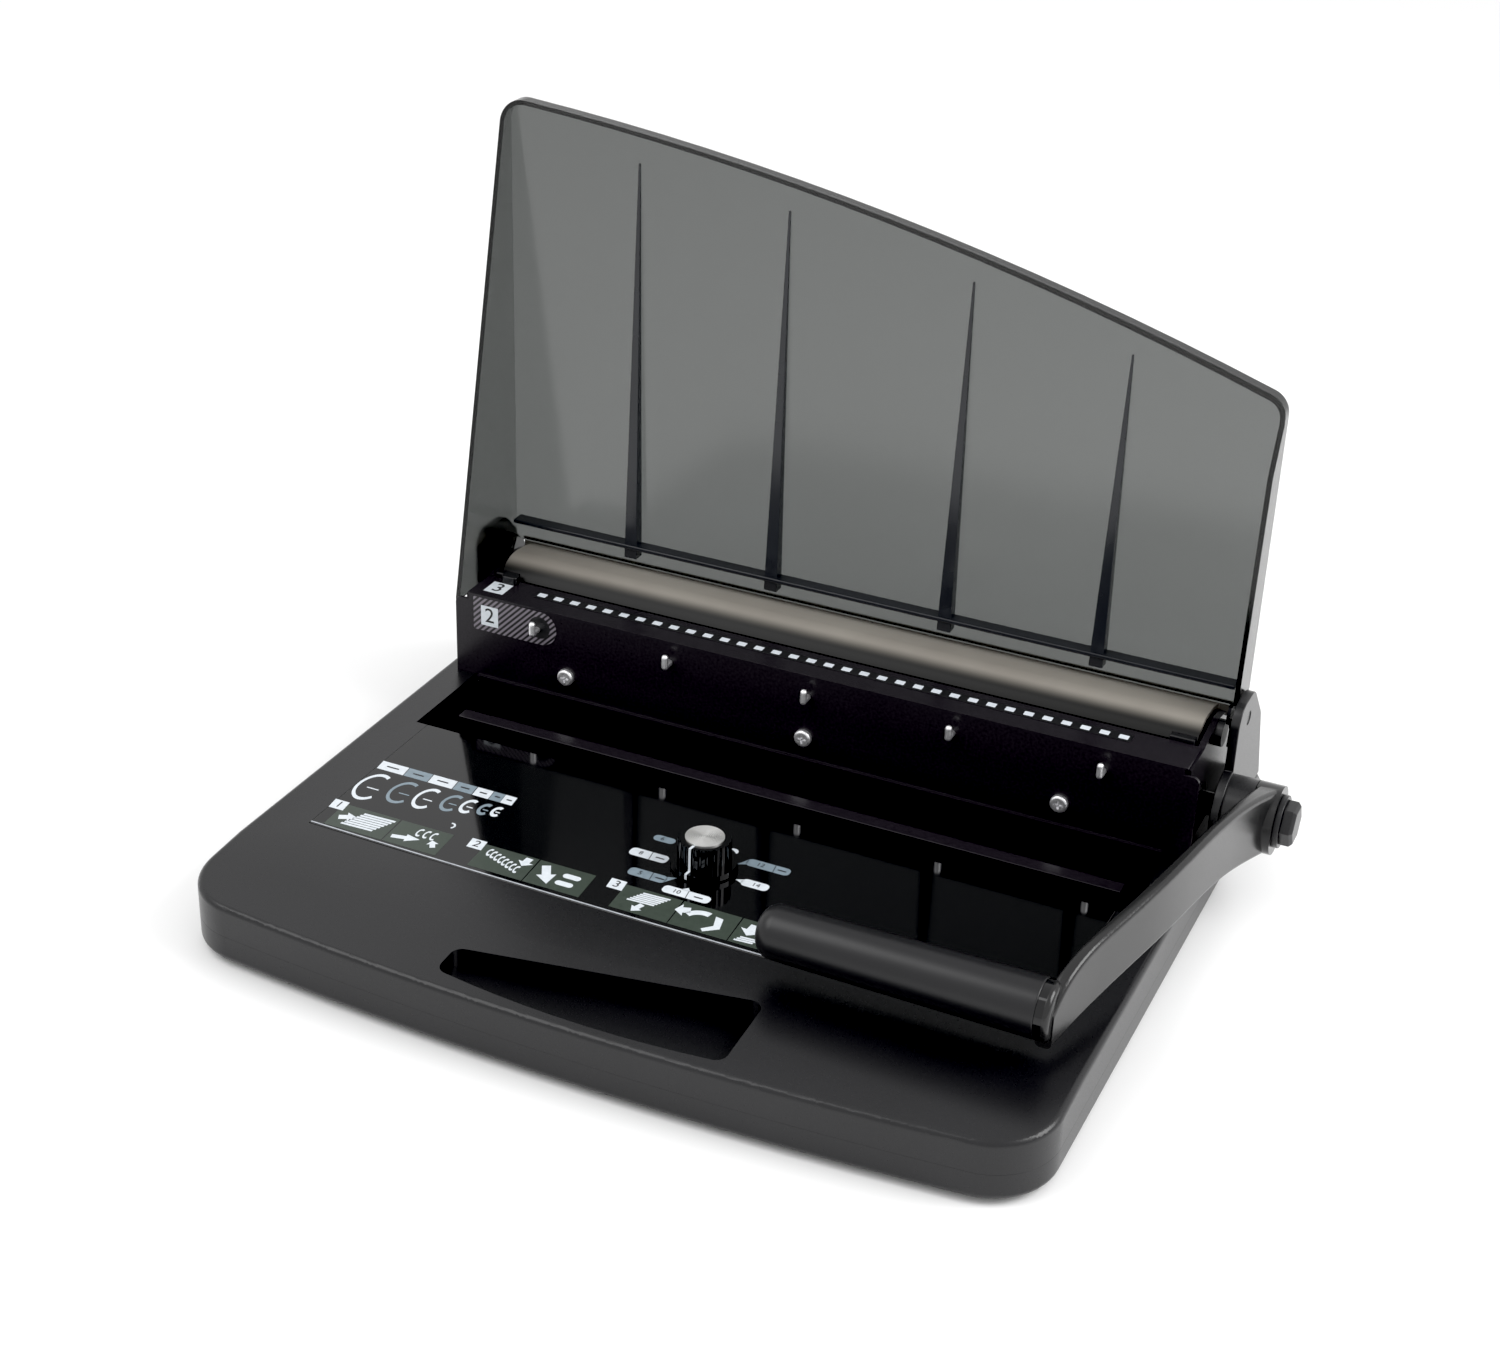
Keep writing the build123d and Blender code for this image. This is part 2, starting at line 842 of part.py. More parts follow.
with BuildPart() as throat_floor:
    block((-spacer_in, spacer_in), (deck_rear, guide_front), (die_low, throat_floor_z))

with BuildPart() as throat_spacers:
    for side in (-1, 1):
        block((side * spacer_in, side * die_half), (deck_rear, guide_front), (die_low, guide_high))

with BuildPart() as left_end_block:
    block((-end_block_out, -end_block_in), (deck_rear, end_block_rear), (end_block_low, end_block_high))

with BuildPart() as right_end_block:
    block((end_block_in, end_block_out), (deck_rear, end_block_rear), (end_block_low, end_block_high))

# Punch bar with its pins, rods and yokes, stored forward because the lever is down
with BuildPart() as pressure_bar:
    block((-bar_half, bar_half), (bar_front, bar_rear), (bar_low, bar_high))
    for x in (-guide_rod_x, guide_rod_x):
        rod_y(
            guide_rod_radius + hole_gap,
            x,
            (bar_front - overrun, bar_rear + overrun),
            guide_rod_z,
            Mode.SUBTRACT,
        )

with BuildPart() as punch_pins:
    for x in hole_places:
        block(
            (x - pin_side / 2, x + pin_side / 2),
            (pin_tip_y, bar_front),
            (pin_z - pin_side / 2, pin_z + pin_side / 2),
        )

with BuildPart() as guide_rods:
    for x in (-guide_rod_x, guide_rod_x):
        rod_y(guide_rod_radius, x, (guide_rear, tie_front), guide_rod_z)

with BuildPart() as rear_tie:
    block((-frame_in, frame_in), (tie_front, tie_front + tie_thick), (tie_low, bar_high))

disc_y = shaft_y - throw * sin(half_swing)
disc_z = shaft_z + throw * cos(half_swing)
with BuildPart() as drive_yokes:
    for side in (-1, 1):
        block(
            (side * yoke_in, side * yoke_out),
            (disc_y - disc_radius - yoke_play - yoke_wall, bar_rear),
            (yoke_low, yoke_high),
        )
        block(
            (side * (yoke_in - overrun), side * (yoke_out + overrun)),
            (disc_y - disc_radius - yoke_play, disc_y + disc_radius + yoke_play),
            (yoke_low - overrun, yoke_roof_low),
            Mode.SUBTRACT,
        )

with BuildPart() as drive_shaft:
    rod_x(shaft_radius, (shaft_left, hub_out + collar_thick), shaft_y, shaft_z)

with BuildPart() as punch_eccentrics:
    for side in (-1, 1):
        rod_x(disc_radius, (side * disc_in, side * disc_out), disc_y, disc_z)
        rod_x(
            shaft_radius + hole_gap,
            (side * crank_pin_out, side * frame_in),
            shaft_y,
            shaft_z,
            Mode.SUBTRACT,
        )

# Closer: cranks, forked rods and the jaw that they push towards the plate
crank_y = shaft_y + crank_throw * sin(half_swing)
crank_z = shaft_z - crank_throw * cos(half_swing)
with BuildPart() as closer_cranks:
    for side in (-1, 1):
        with BuildSketch(section(side * crank_web_in)):
            with Locations((shaft_y, shaft_z)):
                Circle(crank_boss)
            with Locations((crank_y, crank_z)):
                Circle(crank_eye)
            make_hull()
        extrude(amount=side * (crank_web_out - crank_web_in))
        rod_x(crank_pin_radius, (side * crank_web_out, side * crank_pin_out), crank_y, crank_z)
        rod_x(
            shaft_radius + hole_gap,
            (side * crank_pin_out, side * (crank_web_in - overrun)),
            shaft_y,
            shaft_z,
            Mode.SUBTRACT,
        )

fork_half = crank_pin_radius + crank_play + fork_wall
with BuildPart() as closer_rods:
    for side in (-1, 1):
        block((side * rod_in, side * rod_out), (jaw_back, crank_y + fork_half), (rod_low, rod_high))
        block(
            (side * rod_in, side * rod_out),
            (crank_y - fork_half, crank_y + fork_half),
            (rod_high, fork_high),
        )
        block(
            (side * (rod_in - overrun), side * (rod_out + overrun)),
            (crank_y - crank_pin_radius - crank_play, crank_y + crank_pin_radius + crank_play),
            (rod_high, fork_high + overrun),
            Mode.SUBTRACT,
        )

with BuildPart() as closer_jaw:
    block((-jaw_half, jaw_half), (jaw_front, jaw_back), (well_floor + free_gap, jaw_high))
    top_edges = closer_jaw.faces().sort_by(Axis.Z)[-1].edges().filter_by(Axis.X)
    chamfer(top_edges.sort_by(Axis.Y)[-1], jaw_nose)

with BuildPart() as chip_drawer:
    block((drawer_left, drawer_right), (drawer_front, drawer_back), (drawer_low, drawer_high))
    block(
        (drawer_left + drawer_face, drawer_right - drawer_wall),
        (drawer_front + drawer_wall, drawer_back - drawer_wall),
        (drawer_low + drawer_wall, drawer_high + overrun),
        Mode.SUBTRACT,
    )
    rod_x(
        drawer_notch,
        (drawer_left - overrun, drawer_left + drawer_face + overrun),
        (drawer_front + drawer_back) / 2,
        drawer_high,
        Mode.SUBTRACT,
    )

# Rear cover and ears
with BuildPart() as rear_cover:
    with BuildSketch(section(-cover_half)):
        with BuildLine():
            Line((cover_front, base_top), (cover_front, cover_bend_z))
            ThreePointArc((cover_front, cover_bend_z), cover_shoulder, (cover_crest_y, cover_crest_z))
            ThreePointArc((cover_crest_y, cover_crest_z), cover_back, (cover_rear, base_top))
            Line((cover_rear, base_top), (cover_front, base_top))
        make_face()
        offset(amount=-cover_wall, mode=Mode.SUBTRACT)
        with Locations(((cover_front + cover_rear) / 2 - cover_wall, base_top)):
            Rectangle(cover_rear - cover_front, 2 * cover_wall + overrun, mode=Mode.SUBTRACT)
        with Locations((cover_front, (base_top + cover_front_low) / 2)):
            Rectangle(2 * cover_wall + overrun, cover_front_low - base_top, mode=Mode.SUBTRACT)
    extrude(amount=2 * cover_half)

with BuildPart() as cover_pivots:
    for side in (-1, 1):
        rod_x(boss_radius, (side * frame_out, side * boss_out), boss_y, boss_z)


def ear_outline():
    """An ear's outline in the open sketch, standing on the base."""
    with BuildLine() as outline:
        Polyline(
            (ear_front, base_top),
            (ear_front, ear_top),
            (ear_top_back, ear_top),
            ear_bend,
            (ear_rear, base_top),
            close=True,
        )
    make_face(outline.edges())
    fillet(vertices().sort_by_distance((ear_front, ear_top))[0], ear_front_round)
    fillet(vertices().sort_by_distance((ear_top_back, ear_top))[0], ear_back_round)
    fillet(vertices().sort_by_distance(ear_bend)[0], ear_back_round)


with BuildPart() as left_ear:
    with BuildSketch(section(-base_half)):
        ear_outline()
        with Locations((hinge_y, hinge_z)):
            Circle(lid_pin_radius + hole_gap, mode=Mode.SUBTRACT)
    extrude(amount=base_half - ear_in)

with BuildPart() as right_ear:
    with BuildSketch(section(ear_in)):
        ear_outline()
        with Locations((shaft_y, shaft_z)):
            Circle(bearing_lobe)
        with Locations((shaft_y, base_top - bearing_lobe / 2)):
            Rectangle(4 * bearing_lobe, bearing_lobe, mode=Mode.SUBTRACT)
        with Locations((shaft_y, shaft_z)):
            Circle(shaft_radius + 2 * hole_gap, mode=Mode.SUBTRACT)
        with Locations((hinge_y, hinge_z)):
            Circle(lid_pin_radius + hole_gap, mode=Mode.SUBTRACT)
    extrude(amount=base_half - ear_in)

with BuildPart() as lid_pins:
    for side in (-1, 1):
        rod_x(lid_pin_radius, (side * lid_pin_in, side * lid_pin_out), hinge_y, hinge_z)
        rod_x(lid_pin_head_radius, (side * (lid_pin_in - lid_pin_head), side * lid_pin_in), hinge_y, hinge_z)

with BuildPart() as arm_bearing:
    rod_x(hub_radius, (base_half, bearing_out), shaft_y, shaft_z)
    rod_x(shaft_radius + hole_gap, (ear_in, hub_out), shaft_y, shaft_z, Mode.SUBTRACT)


# Lid: a sheet with a short lip, two skirts that narrow upwards, and hinge lobes
def lid_outline(inset):
    """The lid's outline from behind the well to its slanting, bowed edge, in the open sketch."""
    half = lid_outer_half - inset
    with BuildLine() as outline:
        ThreePointArc(
            (-half, lid_left_top - inset),
            (0, lid_middle_top - inset),
            (half, lid_right_top - inset),
        )
        Polyline(
            (half, lid_right_top - inset),
            (half, lid_bottom - inset),
            (-half, lid_bottom - inset),
            (-half, lid_left_top - inset),
        )
    make_face(outline.edges())
    fillet(vertices().sort_by(Axis.Y)[-2:], lid_corner - inset)


sheet_outer_y = sheet_inner_y + sheet_thick
with BuildPart() as lid_shell:
    with BuildSketch(facing(sheet_outer_y)):
        lid_outline(0)
    extrude(amount=sheet_outer_y - left_skirt_low_y)
    with BuildSketch(facing(sheet_inner_y)):
        lid_outline(skirt_thick)
    extrude(amount=sheet_inner_y - left_skirt_low_y + overrun, mode=Mode.SUBTRACT)
    block(
        (-skirt_in, skirt_in),
        (left_skirt_low_y - overrun, lid_lip_y),
        (lid_bottom - overrun, lid_left_top + overrun),
        Mode.SUBTRACT,
    )
    for x, free_edge in (
        (-lid_outer_half - overrun, left_free_edge),
        (skirt_in, right_free_edge),
    ):
        with BuildSketch(section(x)):
            with BuildLine():
                Polyline(
                    (left_skirt_low_y - overrun, lid_bottom - overrun),
                    (free_edge[0][0], lid_bottom - overrun),
                    *free_edge,
                    (lid_lip_y, lid_left_top + overrun),
                    (left_skirt_low_y - overrun, lid_left_top + overrun),
                    close=True,
                )
            make_face()
        extrude(amount=lid_outer_half - skirt_in + overrun, mode=Mode.SUBTRACT)
    for side, cheek_y, low_y in (
        (-1, left_cheek_y, left_skirt_low_y),
        (1, right_cheek_y, right_skirt_low_y),
    ):
        with BuildSketch(section(side * lid_inner_half)):
            with BuildLine():
                Polyline(
                    (low_y, skirt_foot),
                    (cheek_y, cheek_low),
                    (hinge_y + lobe_radius, cheek_low),
                    (sheet_inner_y, lid_bottom),
                    close=True,
                )
            make_face()
        extrude(amount=side * skirt_thick)
        rod_x(lobe_radius, (side * lid_inner_half, side * lid_outer_half), hinge_y, hinge_z)
        rod_x(
            lid_pin_radius + hole_gap,
            (side * skirt_in, side * base_half),
            hinge_y,
            hinge_z,
            Mode.SUBTRACT,
        )

with BuildPart() as lid_ribs:
    for x, tip in rib_places:
        with BuildSketch(level(shelf_low + shelf_thick)):
            with Locations((x, sheet_inner_y - rib_deep / 2)):
                Rectangle(rib_thick, rib_deep)
        with BuildSketch(level(tip)):
            with Locations((x, sheet_inner_y - rib_tip_deep / 2)):
                Rectangle(rib_tip_thick, rib_tip_deep)
        loft()
        block(
            (x - rib_thick / 2, x + rib_thick / 2),
            (sheet_inner_y - rib_deep, sheet_inner_y),
            (rib_low, shelf_low),
        )

with BuildPart() as lid_shelf:
    block(
        (-shelf_half, shelf_half),
        (sheet_inner_y - shelf_deep, sheet_inner_y),
        (shelf_low, shelf_low + shelf_thick),
    )

# Lever, from the cap at the pivot to the grip across the front
with BuildPart() as arm_head:
    rod_x(elbow_radius, (elbow_right, head_right), grip_y, grip_z)
    fillet(arm_head.faces().sort_by(Axis.X)[-1].edges(), elbow_round)

arm_out_line = [(base_half + out, y) for y, out in arm_out_places]
arm_in_line = [(base_half + out, y) for y, out in arm_in_places]
with BuildPart() as lever_arm:
    with BuildSketch(level(0)):
        with BuildLine():
            Spline(*arm_out_line)
            Spline(*arm_in_line)
            Line(arm_in_line[0], arm_out_line[0])
            Line(arm_in_line[-1], arm_out_line[-1])
        make_face()
    extrude(amount=ear_top)
    with BuildSketch(section(core_left)):
        with BuildLine():
            Spline(*arm_top_places)
            Spline(*arm_low_places)
            Line(arm_top_places[0], arm_low_places[0])
            Line(arm_top_places[-1], arm_low_places[-1])
        make_face()
    extrude(amount=cap_out - core_left, mode=Mode.INTERSECT)
    long_edges = [e for e in lever_arm.edges() if e.length > grip_long]
    fillet(long_edges, arm_round)
    rod_x(hub_radius + free_gap, (ear_in, hub_in), shaft_y, shaft_z, Mode.SUBTRACT)
    rod_x(hub_radius, (hub_in, hub_out), shaft_y, shaft_z)
    rod_x(shaft_radius + hole_gap, (ear_in, cap_out), shaft_y, shaft_z, Mode.SUBTRACT)
    rod_x(elbow_radius + hole_gap, (core_left, elbow_right), grip_y, grip_z, Mode.SUBTRACT)
    rod_x(grip_right_radius + hole_gap, (core_left, grip_right), grip_y, grip_z, Mode.SUBTRACT)
    add(arm_head.part)

with BuildPart() as grip_elbow:
    rod_x(elbow_radius, (grip_right, elbow_right), grip_y, grip_z)
    rod_x(core_radius + hole_gap, (grip_right - overrun, core_right), grip_y, grip_z, Mode.SUBTRACT)

with BuildPart() as handle_grip:
    with Locations(spot((grip_left + grip_right) / 2, grip_y, grip_z)):
        Cone(grip_left_radius, grip_right_radius, grip_right - grip_left, rotation=(0, 90, 0))
    fillet(handle_grip.faces().sort_by(Axis.X)[0].edges(), grip_tip_round)
    fillet(handle_grip.faces().sort_by(Axis.X)[-1].edges(), grip_end_round)
    rod_x(core_radius + hole_gap, (core_left, grip_right + overrun), grip_y, grip_z, Mode.SUBTRACT)

with BuildPart() as grip_core:
    rod_x(core_radius, (core_left, core_right), grip_y, grip_z)

with BuildPart() as pivot_collar:
    rod_x(collar_radius, (hub_out, hub_out + collar_thick), shaft_y, shaft_z)
    rod_x(shaft_radius + hole_gap, (ear_in, cap_out), shaft_y, shaft_z, Mode.SUBTRACT)

with BuildPart() as pivot_cap:
    with BuildSketch(section(hub_out + collar_thick)):
        with Locations((shaft_y, shaft_z)):
            RegularPolygon(cap_radius, 6)
    extrude(amount=cap_out - hub_out - collar_thick)
    chamfer(pivot_cap.faces().sort_by(Axis.X)[-1].edges(), cap_chamfer)

# Dial: fluted knob, disc, spindle and the spiral cam that sets the closer's stop
with BuildPart() as knob_body:
    rod_z(knob_skirt_radius, 0, dial_y, (knob_low, knob_skirt_high))
    rod_z(knob_radius, 0, dial_y, (knob_skirt_high, knob_high))
    with Locations(spot(0, dial_y, (knob_skirt_high + knob_high) / 2)):
        with PolarLocations(knob_radius, flute_count):
            Cylinder(flute_radius, knob_high - knob_skirt_high, mode=Mode.SUBTRACT)
    rod_z(spindle_radius + hole_gap, 0, dial_y, (knob_low - overrun, spindle_high), Mode.SUBTRACT)

with BuildPart() as knob_cap:
    rod_z(knob_cap_radius, 0, dial_y, (knob_high, knob_high + knob_cap_thick))

with BuildPart() as dial_spindle:
    rod_z(spindle_radius, 0, dial_y, (spindle_low, spindle_high))

with BuildPart() as dial_bush:
    rod_z(dial_bush_radius, 0, dial_y, (dial_bush_low, base_top + panel_proud))
    rod_z(dial_bush_radius + overrun, 0, dial_y, (dial_bush_low, panel_seat))
    rod_z(spindle_radius + hole_gap, 0, dial_y, (spindle_low, knob_low), Mode.SUBTRACT)


def cam_point(turn):
    """A point of the cam's spiral, turned from the direction of the stop, in degrees."""
    reach = cam_radius + cam_rise * radians(turn)
    return (-reach * sin(radians(turn)), dial_y + reach * cos(radians(turn)))


cam_steps = round(2 * cam_reach_angle / cam_step_angle)
cam_points = [cam_point(cam_reach_angle * (2 * i / cam_steps - 1)) for i in range(cam_steps + 1)]
with BuildPart() as size_cam:
    with BuildSketch(level(cam_low)):
        with BuildLine():
            Spline(*cam_points)
            Line(cam_points[-1], cam_points[0])
        make_face()
        with Locations((0, dial_y)):
            Circle(spindle_radius + hole_gap, mode=Mode.SUBTRACT)
    extrude(amount=cam_high - cam_low)

with BuildPart() as dial_bracket:
    block(
        (-bracket_half, bracket_half),
        (bracket_front, bracket_rear),
        (bracket_low, bracket_low + bracket_thick),
    )
    for x in (-bracket_post_x, bracket_post_x):
        for y in (bracket_post_front_y, bracket_post_rear_y):
            rod_z(bracket_post_radius, x, y, (bracket_low, panel_seat))

stop_tip = dial_y + cam_radius + cam_gap
with BuildPart() as size_stop:
    stop_low = bracket_low + bracket_thick + free_gap
    block((-stop_half, stop_half), (stop_tip + stop_nose, stop_rear), (stop_low, cam_high))
    block((-stop_nose_half, stop_nose_half), (stop_tip, stop_tip + stop_nose), (cam_low, cam_high))

with BuildPart() as edge_guide:
    block((edge_left, edge_right), (edge_front, edge_back), (deck_top, edge_high))
    upright = edge_guide.edges().filter_by(Axis.Z)
    fillet(upright, (edge_back - edge_front) * edge_round_share)

pieces = {
    "base_shell": base_shell,
    "bottom_tray": bottom_tray,
    "rubber_feet": rubber_feet,
    "tray_screws": tray_screws,
    "gloss_panel": gloss_panel,
    "chassis_plate": chassis_plate,
    "left_frame": left_frame,
    "right_frame": right_frame,
    "shaft_bushes": shaft_bushes,
    "front_plate": front_plate,
    "lower_rail": lower_rail,
    "front_plate_screws": front_plate_screws,
    "wire_hook_pins": wire_hook_pins,
    "plate_rivets": plate_rivets,
    "top_deck": top_deck,
    "ruler_strip": ruler_strip,
    "die_plate": die_plate,
    "guide_plate": guide_plate,
    "throat_floor": throat_floor,
    "throat_spacers": throat_spacers,
    "left_end_block": left_end_block,
    "right_end_block": right_end_block,
    "pressure_bar": pressure_bar,
    "punch_pins": punch_pins,
    "guide_rods": guide_rods,
    "rear_tie": rear_tie,
    "drive_yokes": drive_yokes,
    "drive_shaft": drive_shaft,
    "punch_eccentrics": punch_eccentrics,
    "closer_cranks": closer_cranks,
    "closer_rods": closer_rods,
    "closer_jaw": closer_jaw,
    "chip_drawer": chip_drawer,
    "rear_cover": rear_cover,
    "cover_pivots": cover_pivots,
    "left_ear": left_ear,
    "right_ear": right_ear,
    "lid_pins": lid_pins,
    "arm_bearing": arm_bearing,
    "lid_shell": lid_shell,
    "lid_ribs": lid_ribs,
    "lid_shelf": lid_shelf,
    "lever_arm": lever_arm,
    "grip_elbow": grip_elbow,
    "handle_grip": handle_grip,
    "grip_core": grip_core,
    "pivot_collar": pivot_collar,
    "pivot_cap": pivot_cap,
    "knob_body": knob_body,
    "knob_cap": knob_cap,
    "dial_spindle": dial_spindle,
    "dial_bush": dial_bush,
    "size_cam": size_cam,
    "dial_bracket": dial_bracket,
    "size_stop": size_stop,
    "edge_guide": edge_guide,
}
os.makedirs("parts", exist_ok=True)
for name, piece in pieces.items():
    piece.part.label = name
    export_step(piece.part, f"parts/{name}.step")
print("lever joint at", spot(0, shaft_y, shaft_z), "lid joint at", spot(0, hinge_y, hinge_z))
print("punch stroke", 2 * throw * sin(half_swing), "jaw stroke", 2 * crank_throw * sin(half_swing))
print("dial joint at", spot(0, dial_y, knob_low))
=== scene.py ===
# %% [markdown]
# # A desk binding machine, dressed for its picture
#
# The machine punches a row of square holes and squeezes a wire comb shut. Its solid model is
# loaded first, and every piece in it already has its real size and place. This lesson gives each
# surface its finish, adds the thin printed and trimmed details that are too fine for a solid
# model, and sets up a plain studio around it.

# %% Load the solid model
import json
from math import cos, degrees, log, pi, radians, sin

import bmesh
import bpy
from mathutils import Matrix, Vector


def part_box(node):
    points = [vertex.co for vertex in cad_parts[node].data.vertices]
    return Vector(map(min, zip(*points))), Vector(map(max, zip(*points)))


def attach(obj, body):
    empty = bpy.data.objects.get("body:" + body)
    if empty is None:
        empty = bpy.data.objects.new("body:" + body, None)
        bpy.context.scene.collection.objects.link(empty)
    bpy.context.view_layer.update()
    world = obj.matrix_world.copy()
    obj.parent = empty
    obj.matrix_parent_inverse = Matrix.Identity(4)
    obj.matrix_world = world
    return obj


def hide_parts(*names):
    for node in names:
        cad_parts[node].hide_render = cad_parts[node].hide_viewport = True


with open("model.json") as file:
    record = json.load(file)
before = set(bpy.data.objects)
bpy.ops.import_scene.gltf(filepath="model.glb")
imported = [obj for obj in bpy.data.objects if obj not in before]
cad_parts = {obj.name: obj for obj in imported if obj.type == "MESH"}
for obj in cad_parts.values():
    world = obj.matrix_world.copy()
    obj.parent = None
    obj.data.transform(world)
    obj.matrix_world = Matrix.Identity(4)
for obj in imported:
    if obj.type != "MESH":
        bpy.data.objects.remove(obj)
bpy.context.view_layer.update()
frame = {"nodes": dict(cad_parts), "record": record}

print("solid pieces:", len(frame["nodes"]))

# %% [markdown]
# ## Where things are
#
# The machine's own drawing measures in millimetres from the middle of the base's front edge, at
# the tray's underside: X to the right, Y to the back, Z up. The loaded model has its origin
# under the middle of the whole machine instead. Typing two sets of sizes would invite mistakes,
# so one small function turns a place on the drawing into a place in the scene.

# %% Places on the drawing
MM = 0.001
DRAWING_ORIGIN = Vector((-15.0, -154.3, 2.0))


def at(x, y, z):
    """A place on the machine's drawing, in metres in the scene."""
    return (Vector((x, y, z)) + DRAWING_ORIGIN) * MM


print("the drawing's origin is at", tuple(round(v, 4) for v in at(0, 0, 0)))

# %% [markdown]
# ## The camera
#
# The picture was taken from the right of the front, about half as high above the machine as it
# was far away, with a fairly long lens, so that the upright edges nearly stay parallel. A camera
# could be aimed with a constraint, but the aim is fixed, so its turn is written as three angles
# in radians, which build the three axes of the camera: right, up and back.

# %% Camera
CAMERA_PLACE = (0.3498536, -0.8278852, 0.5865964)
TURN, DIP, ROLL = 0.417190925, 0.494599272, 0.0364183583
LENS_MM, SENSOR_MM, CLIP_START = 59.563, 36.0, 0.05

ahead = Vector((-sin(TURN) * cos(DIP), cos(TURN) * cos(DIP), -sin(DIP)))
level_right = Vector((cos(TURN), sin(TURN), 0.0))
level_up = level_right.cross(ahead)
right = cos(ROLL) * level_right + sin(ROLL) * level_up
up = cos(ROLL) * level_up - sin(ROLL) * level_right

camera_data = bpy.data.cameras.new("studio_camera")
camera_data.sensor_fit = "HORIZONTAL"
camera_data.sensor_width = SENSOR_MM
camera_data.lens = LENS_MM
camera_data.clip_start = CLIP_START
camera = bpy.data.objects.new("studio_camera", camera_data)
bpy.context.scene.collection.objects.link(camera)
axes = Matrix((right, up, -ahead)).transposed().to_4x4()
camera.matrix_world = Matrix.Translation(CAMERA_PLACE) @ axes
bpy.context.scene.camera = camera
print("camera looks down by", round(degrees(DIP), 1), "degrees")

# %% [markdown]
# ## Tools for the finishes
#
# A finish is a small network of shader nodes. It could be drawn by hand in the node editor, but
# written out it can be read, compared and repeated. A few helpers keep each network short: one
# turns the hex code of a colour, as a colour picker shows it, into the linear numbers that the
# renderer works with; one sets or links a node's sockets; one adds any node with its settings;
# and one starts a material. Patterns are sized in real millimetres, so a last helper turns a
# size into a texture scale.

# %% Helpers for finishes
def srgb(code):
    """A hex colour such as "#8a8d90" as linear red, green, blue and an alpha of one."""
    channels = [int(code[i : i + 2], 16) / 255 for i in (1, 3, 5)]
    return [c / 12.92 if c <= 0.04045 else ((c + 0.055) / 1.055) ** 2.4 for c in channels] + [1.0]


def switched_on(sockets, name=None):
    """The first socket, or the first one of that name, that the node's settings leave in use."""
    return next(s for s in sockets if s.enabled and name in (None, s.name))


def feed(tree, node, sockets):
    """Give each named socket its value, or link it to a socket or to a node's first output."""
    for name, value in sockets.items():
        socket = switched_on(node.inputs, name)
        if isinstance(value, bpy.types.Node):
            tree.links.new(switched_on(value.outputs), socket)
        elif isinstance(value, bpy.types.NodeSocket):
            tree.links.new(value, socket)
        else:
            socket.default_value = value


def add(tree, kind, sockets, **settings):
    """Add a node with its settings, then feed its sockets."""
    node = tree.nodes.new(kind)
    for name, value in settings.items():
        setattr(node, name, value)
    feed(tree, node, sockets)
    return node


def start(name, sockets):
    """A new material with one Principled shader, and the place of each point on the machine."""
    material = bpy.data.materials.new(name)
    material.use_nodes = True
    tree = material.node_tree
    shader = tree.nodes["Principled BSDF"]
    feed(tree, shader, sockets)
    place = add(tree, "ShaderNodeTexCoord", {}).outputs["Object"]
    return material, tree, shader, place


def per_metre(size_mm):
    """The texture scale that repeats a pattern about once in size_mm."""
    return 1.0 / (size_mm * MM)


finishes = {}

# %% [markdown]
# ## Moulded black plastic
#
# The base, its tray, the end caps and the small blocks are injection-moulded ABS. The mould was
# spark-eroded, which leaves a fine pebbled grain that makes highlights soft. An image of the
# grain could be wrapped round the pieces, but a noise that reads each point's place needs no
# unwrapping and has no seams. The grain is about 0.3 mm across on the real machine and would
# vanish in the picture, so it is drawn at 0.9 mm. Slow clouds in the pigment keep the black from
# looking flat.

# %% Moulded black
GRAIN_MM, PIGMENT_CLOUD_MM = 0.9, 60.0
material, tree, shader, place = start("abs_spark_grain_black", {"IOR": 1.5})
grain = add(
    tree, "ShaderNodeTexNoise", {"Vector": place, "Scale": per_metre(GRAIN_MM), "Detail": 3.0}
)
cloud = add(
    tree,
    "ShaderNodeTexNoise",
    {"Vector": place, "Scale": per_metre(PIGMENT_CLOUD_MM), "Detail": 2.0},
)
pigment = add(
    tree,
    "ShaderNodeMix",
    {"Factor": cloud, "A": srgb("#0a0a0c"), "B": srgb("#161619")},
    data_type="RGBA",
)
shine = add(tree, "ShaderNodeMapRange", {"Value": grain, "To Min": 0.24, "To Max": 0.34})
bump = add(tree, "ShaderNodeBump", {"Height": grain, "Strength": 0.12, "Distance": 0.05 * MM})
feed(tree, shader, {"Base Color": pigment, "Roughness": shine, "Normal": bump})
finishes["moulded_black"] = material
print("grain drawn at", GRAIN_MM, "mm")

# %% [markdown]
# ## Polished black plastic
#
# The working panel, the dial and the lever's elbow come from a polished mould. Their gloss is
# almost a mirror, so what the eye sees on them is the room and the lid. An even gloss would look
# like glass. Real ones carry hairline wipe marks, which show only as a faint change of gloss, so
# a noise is drawn out along X for them, and a shallow ripple bends the mirrored edges a little.

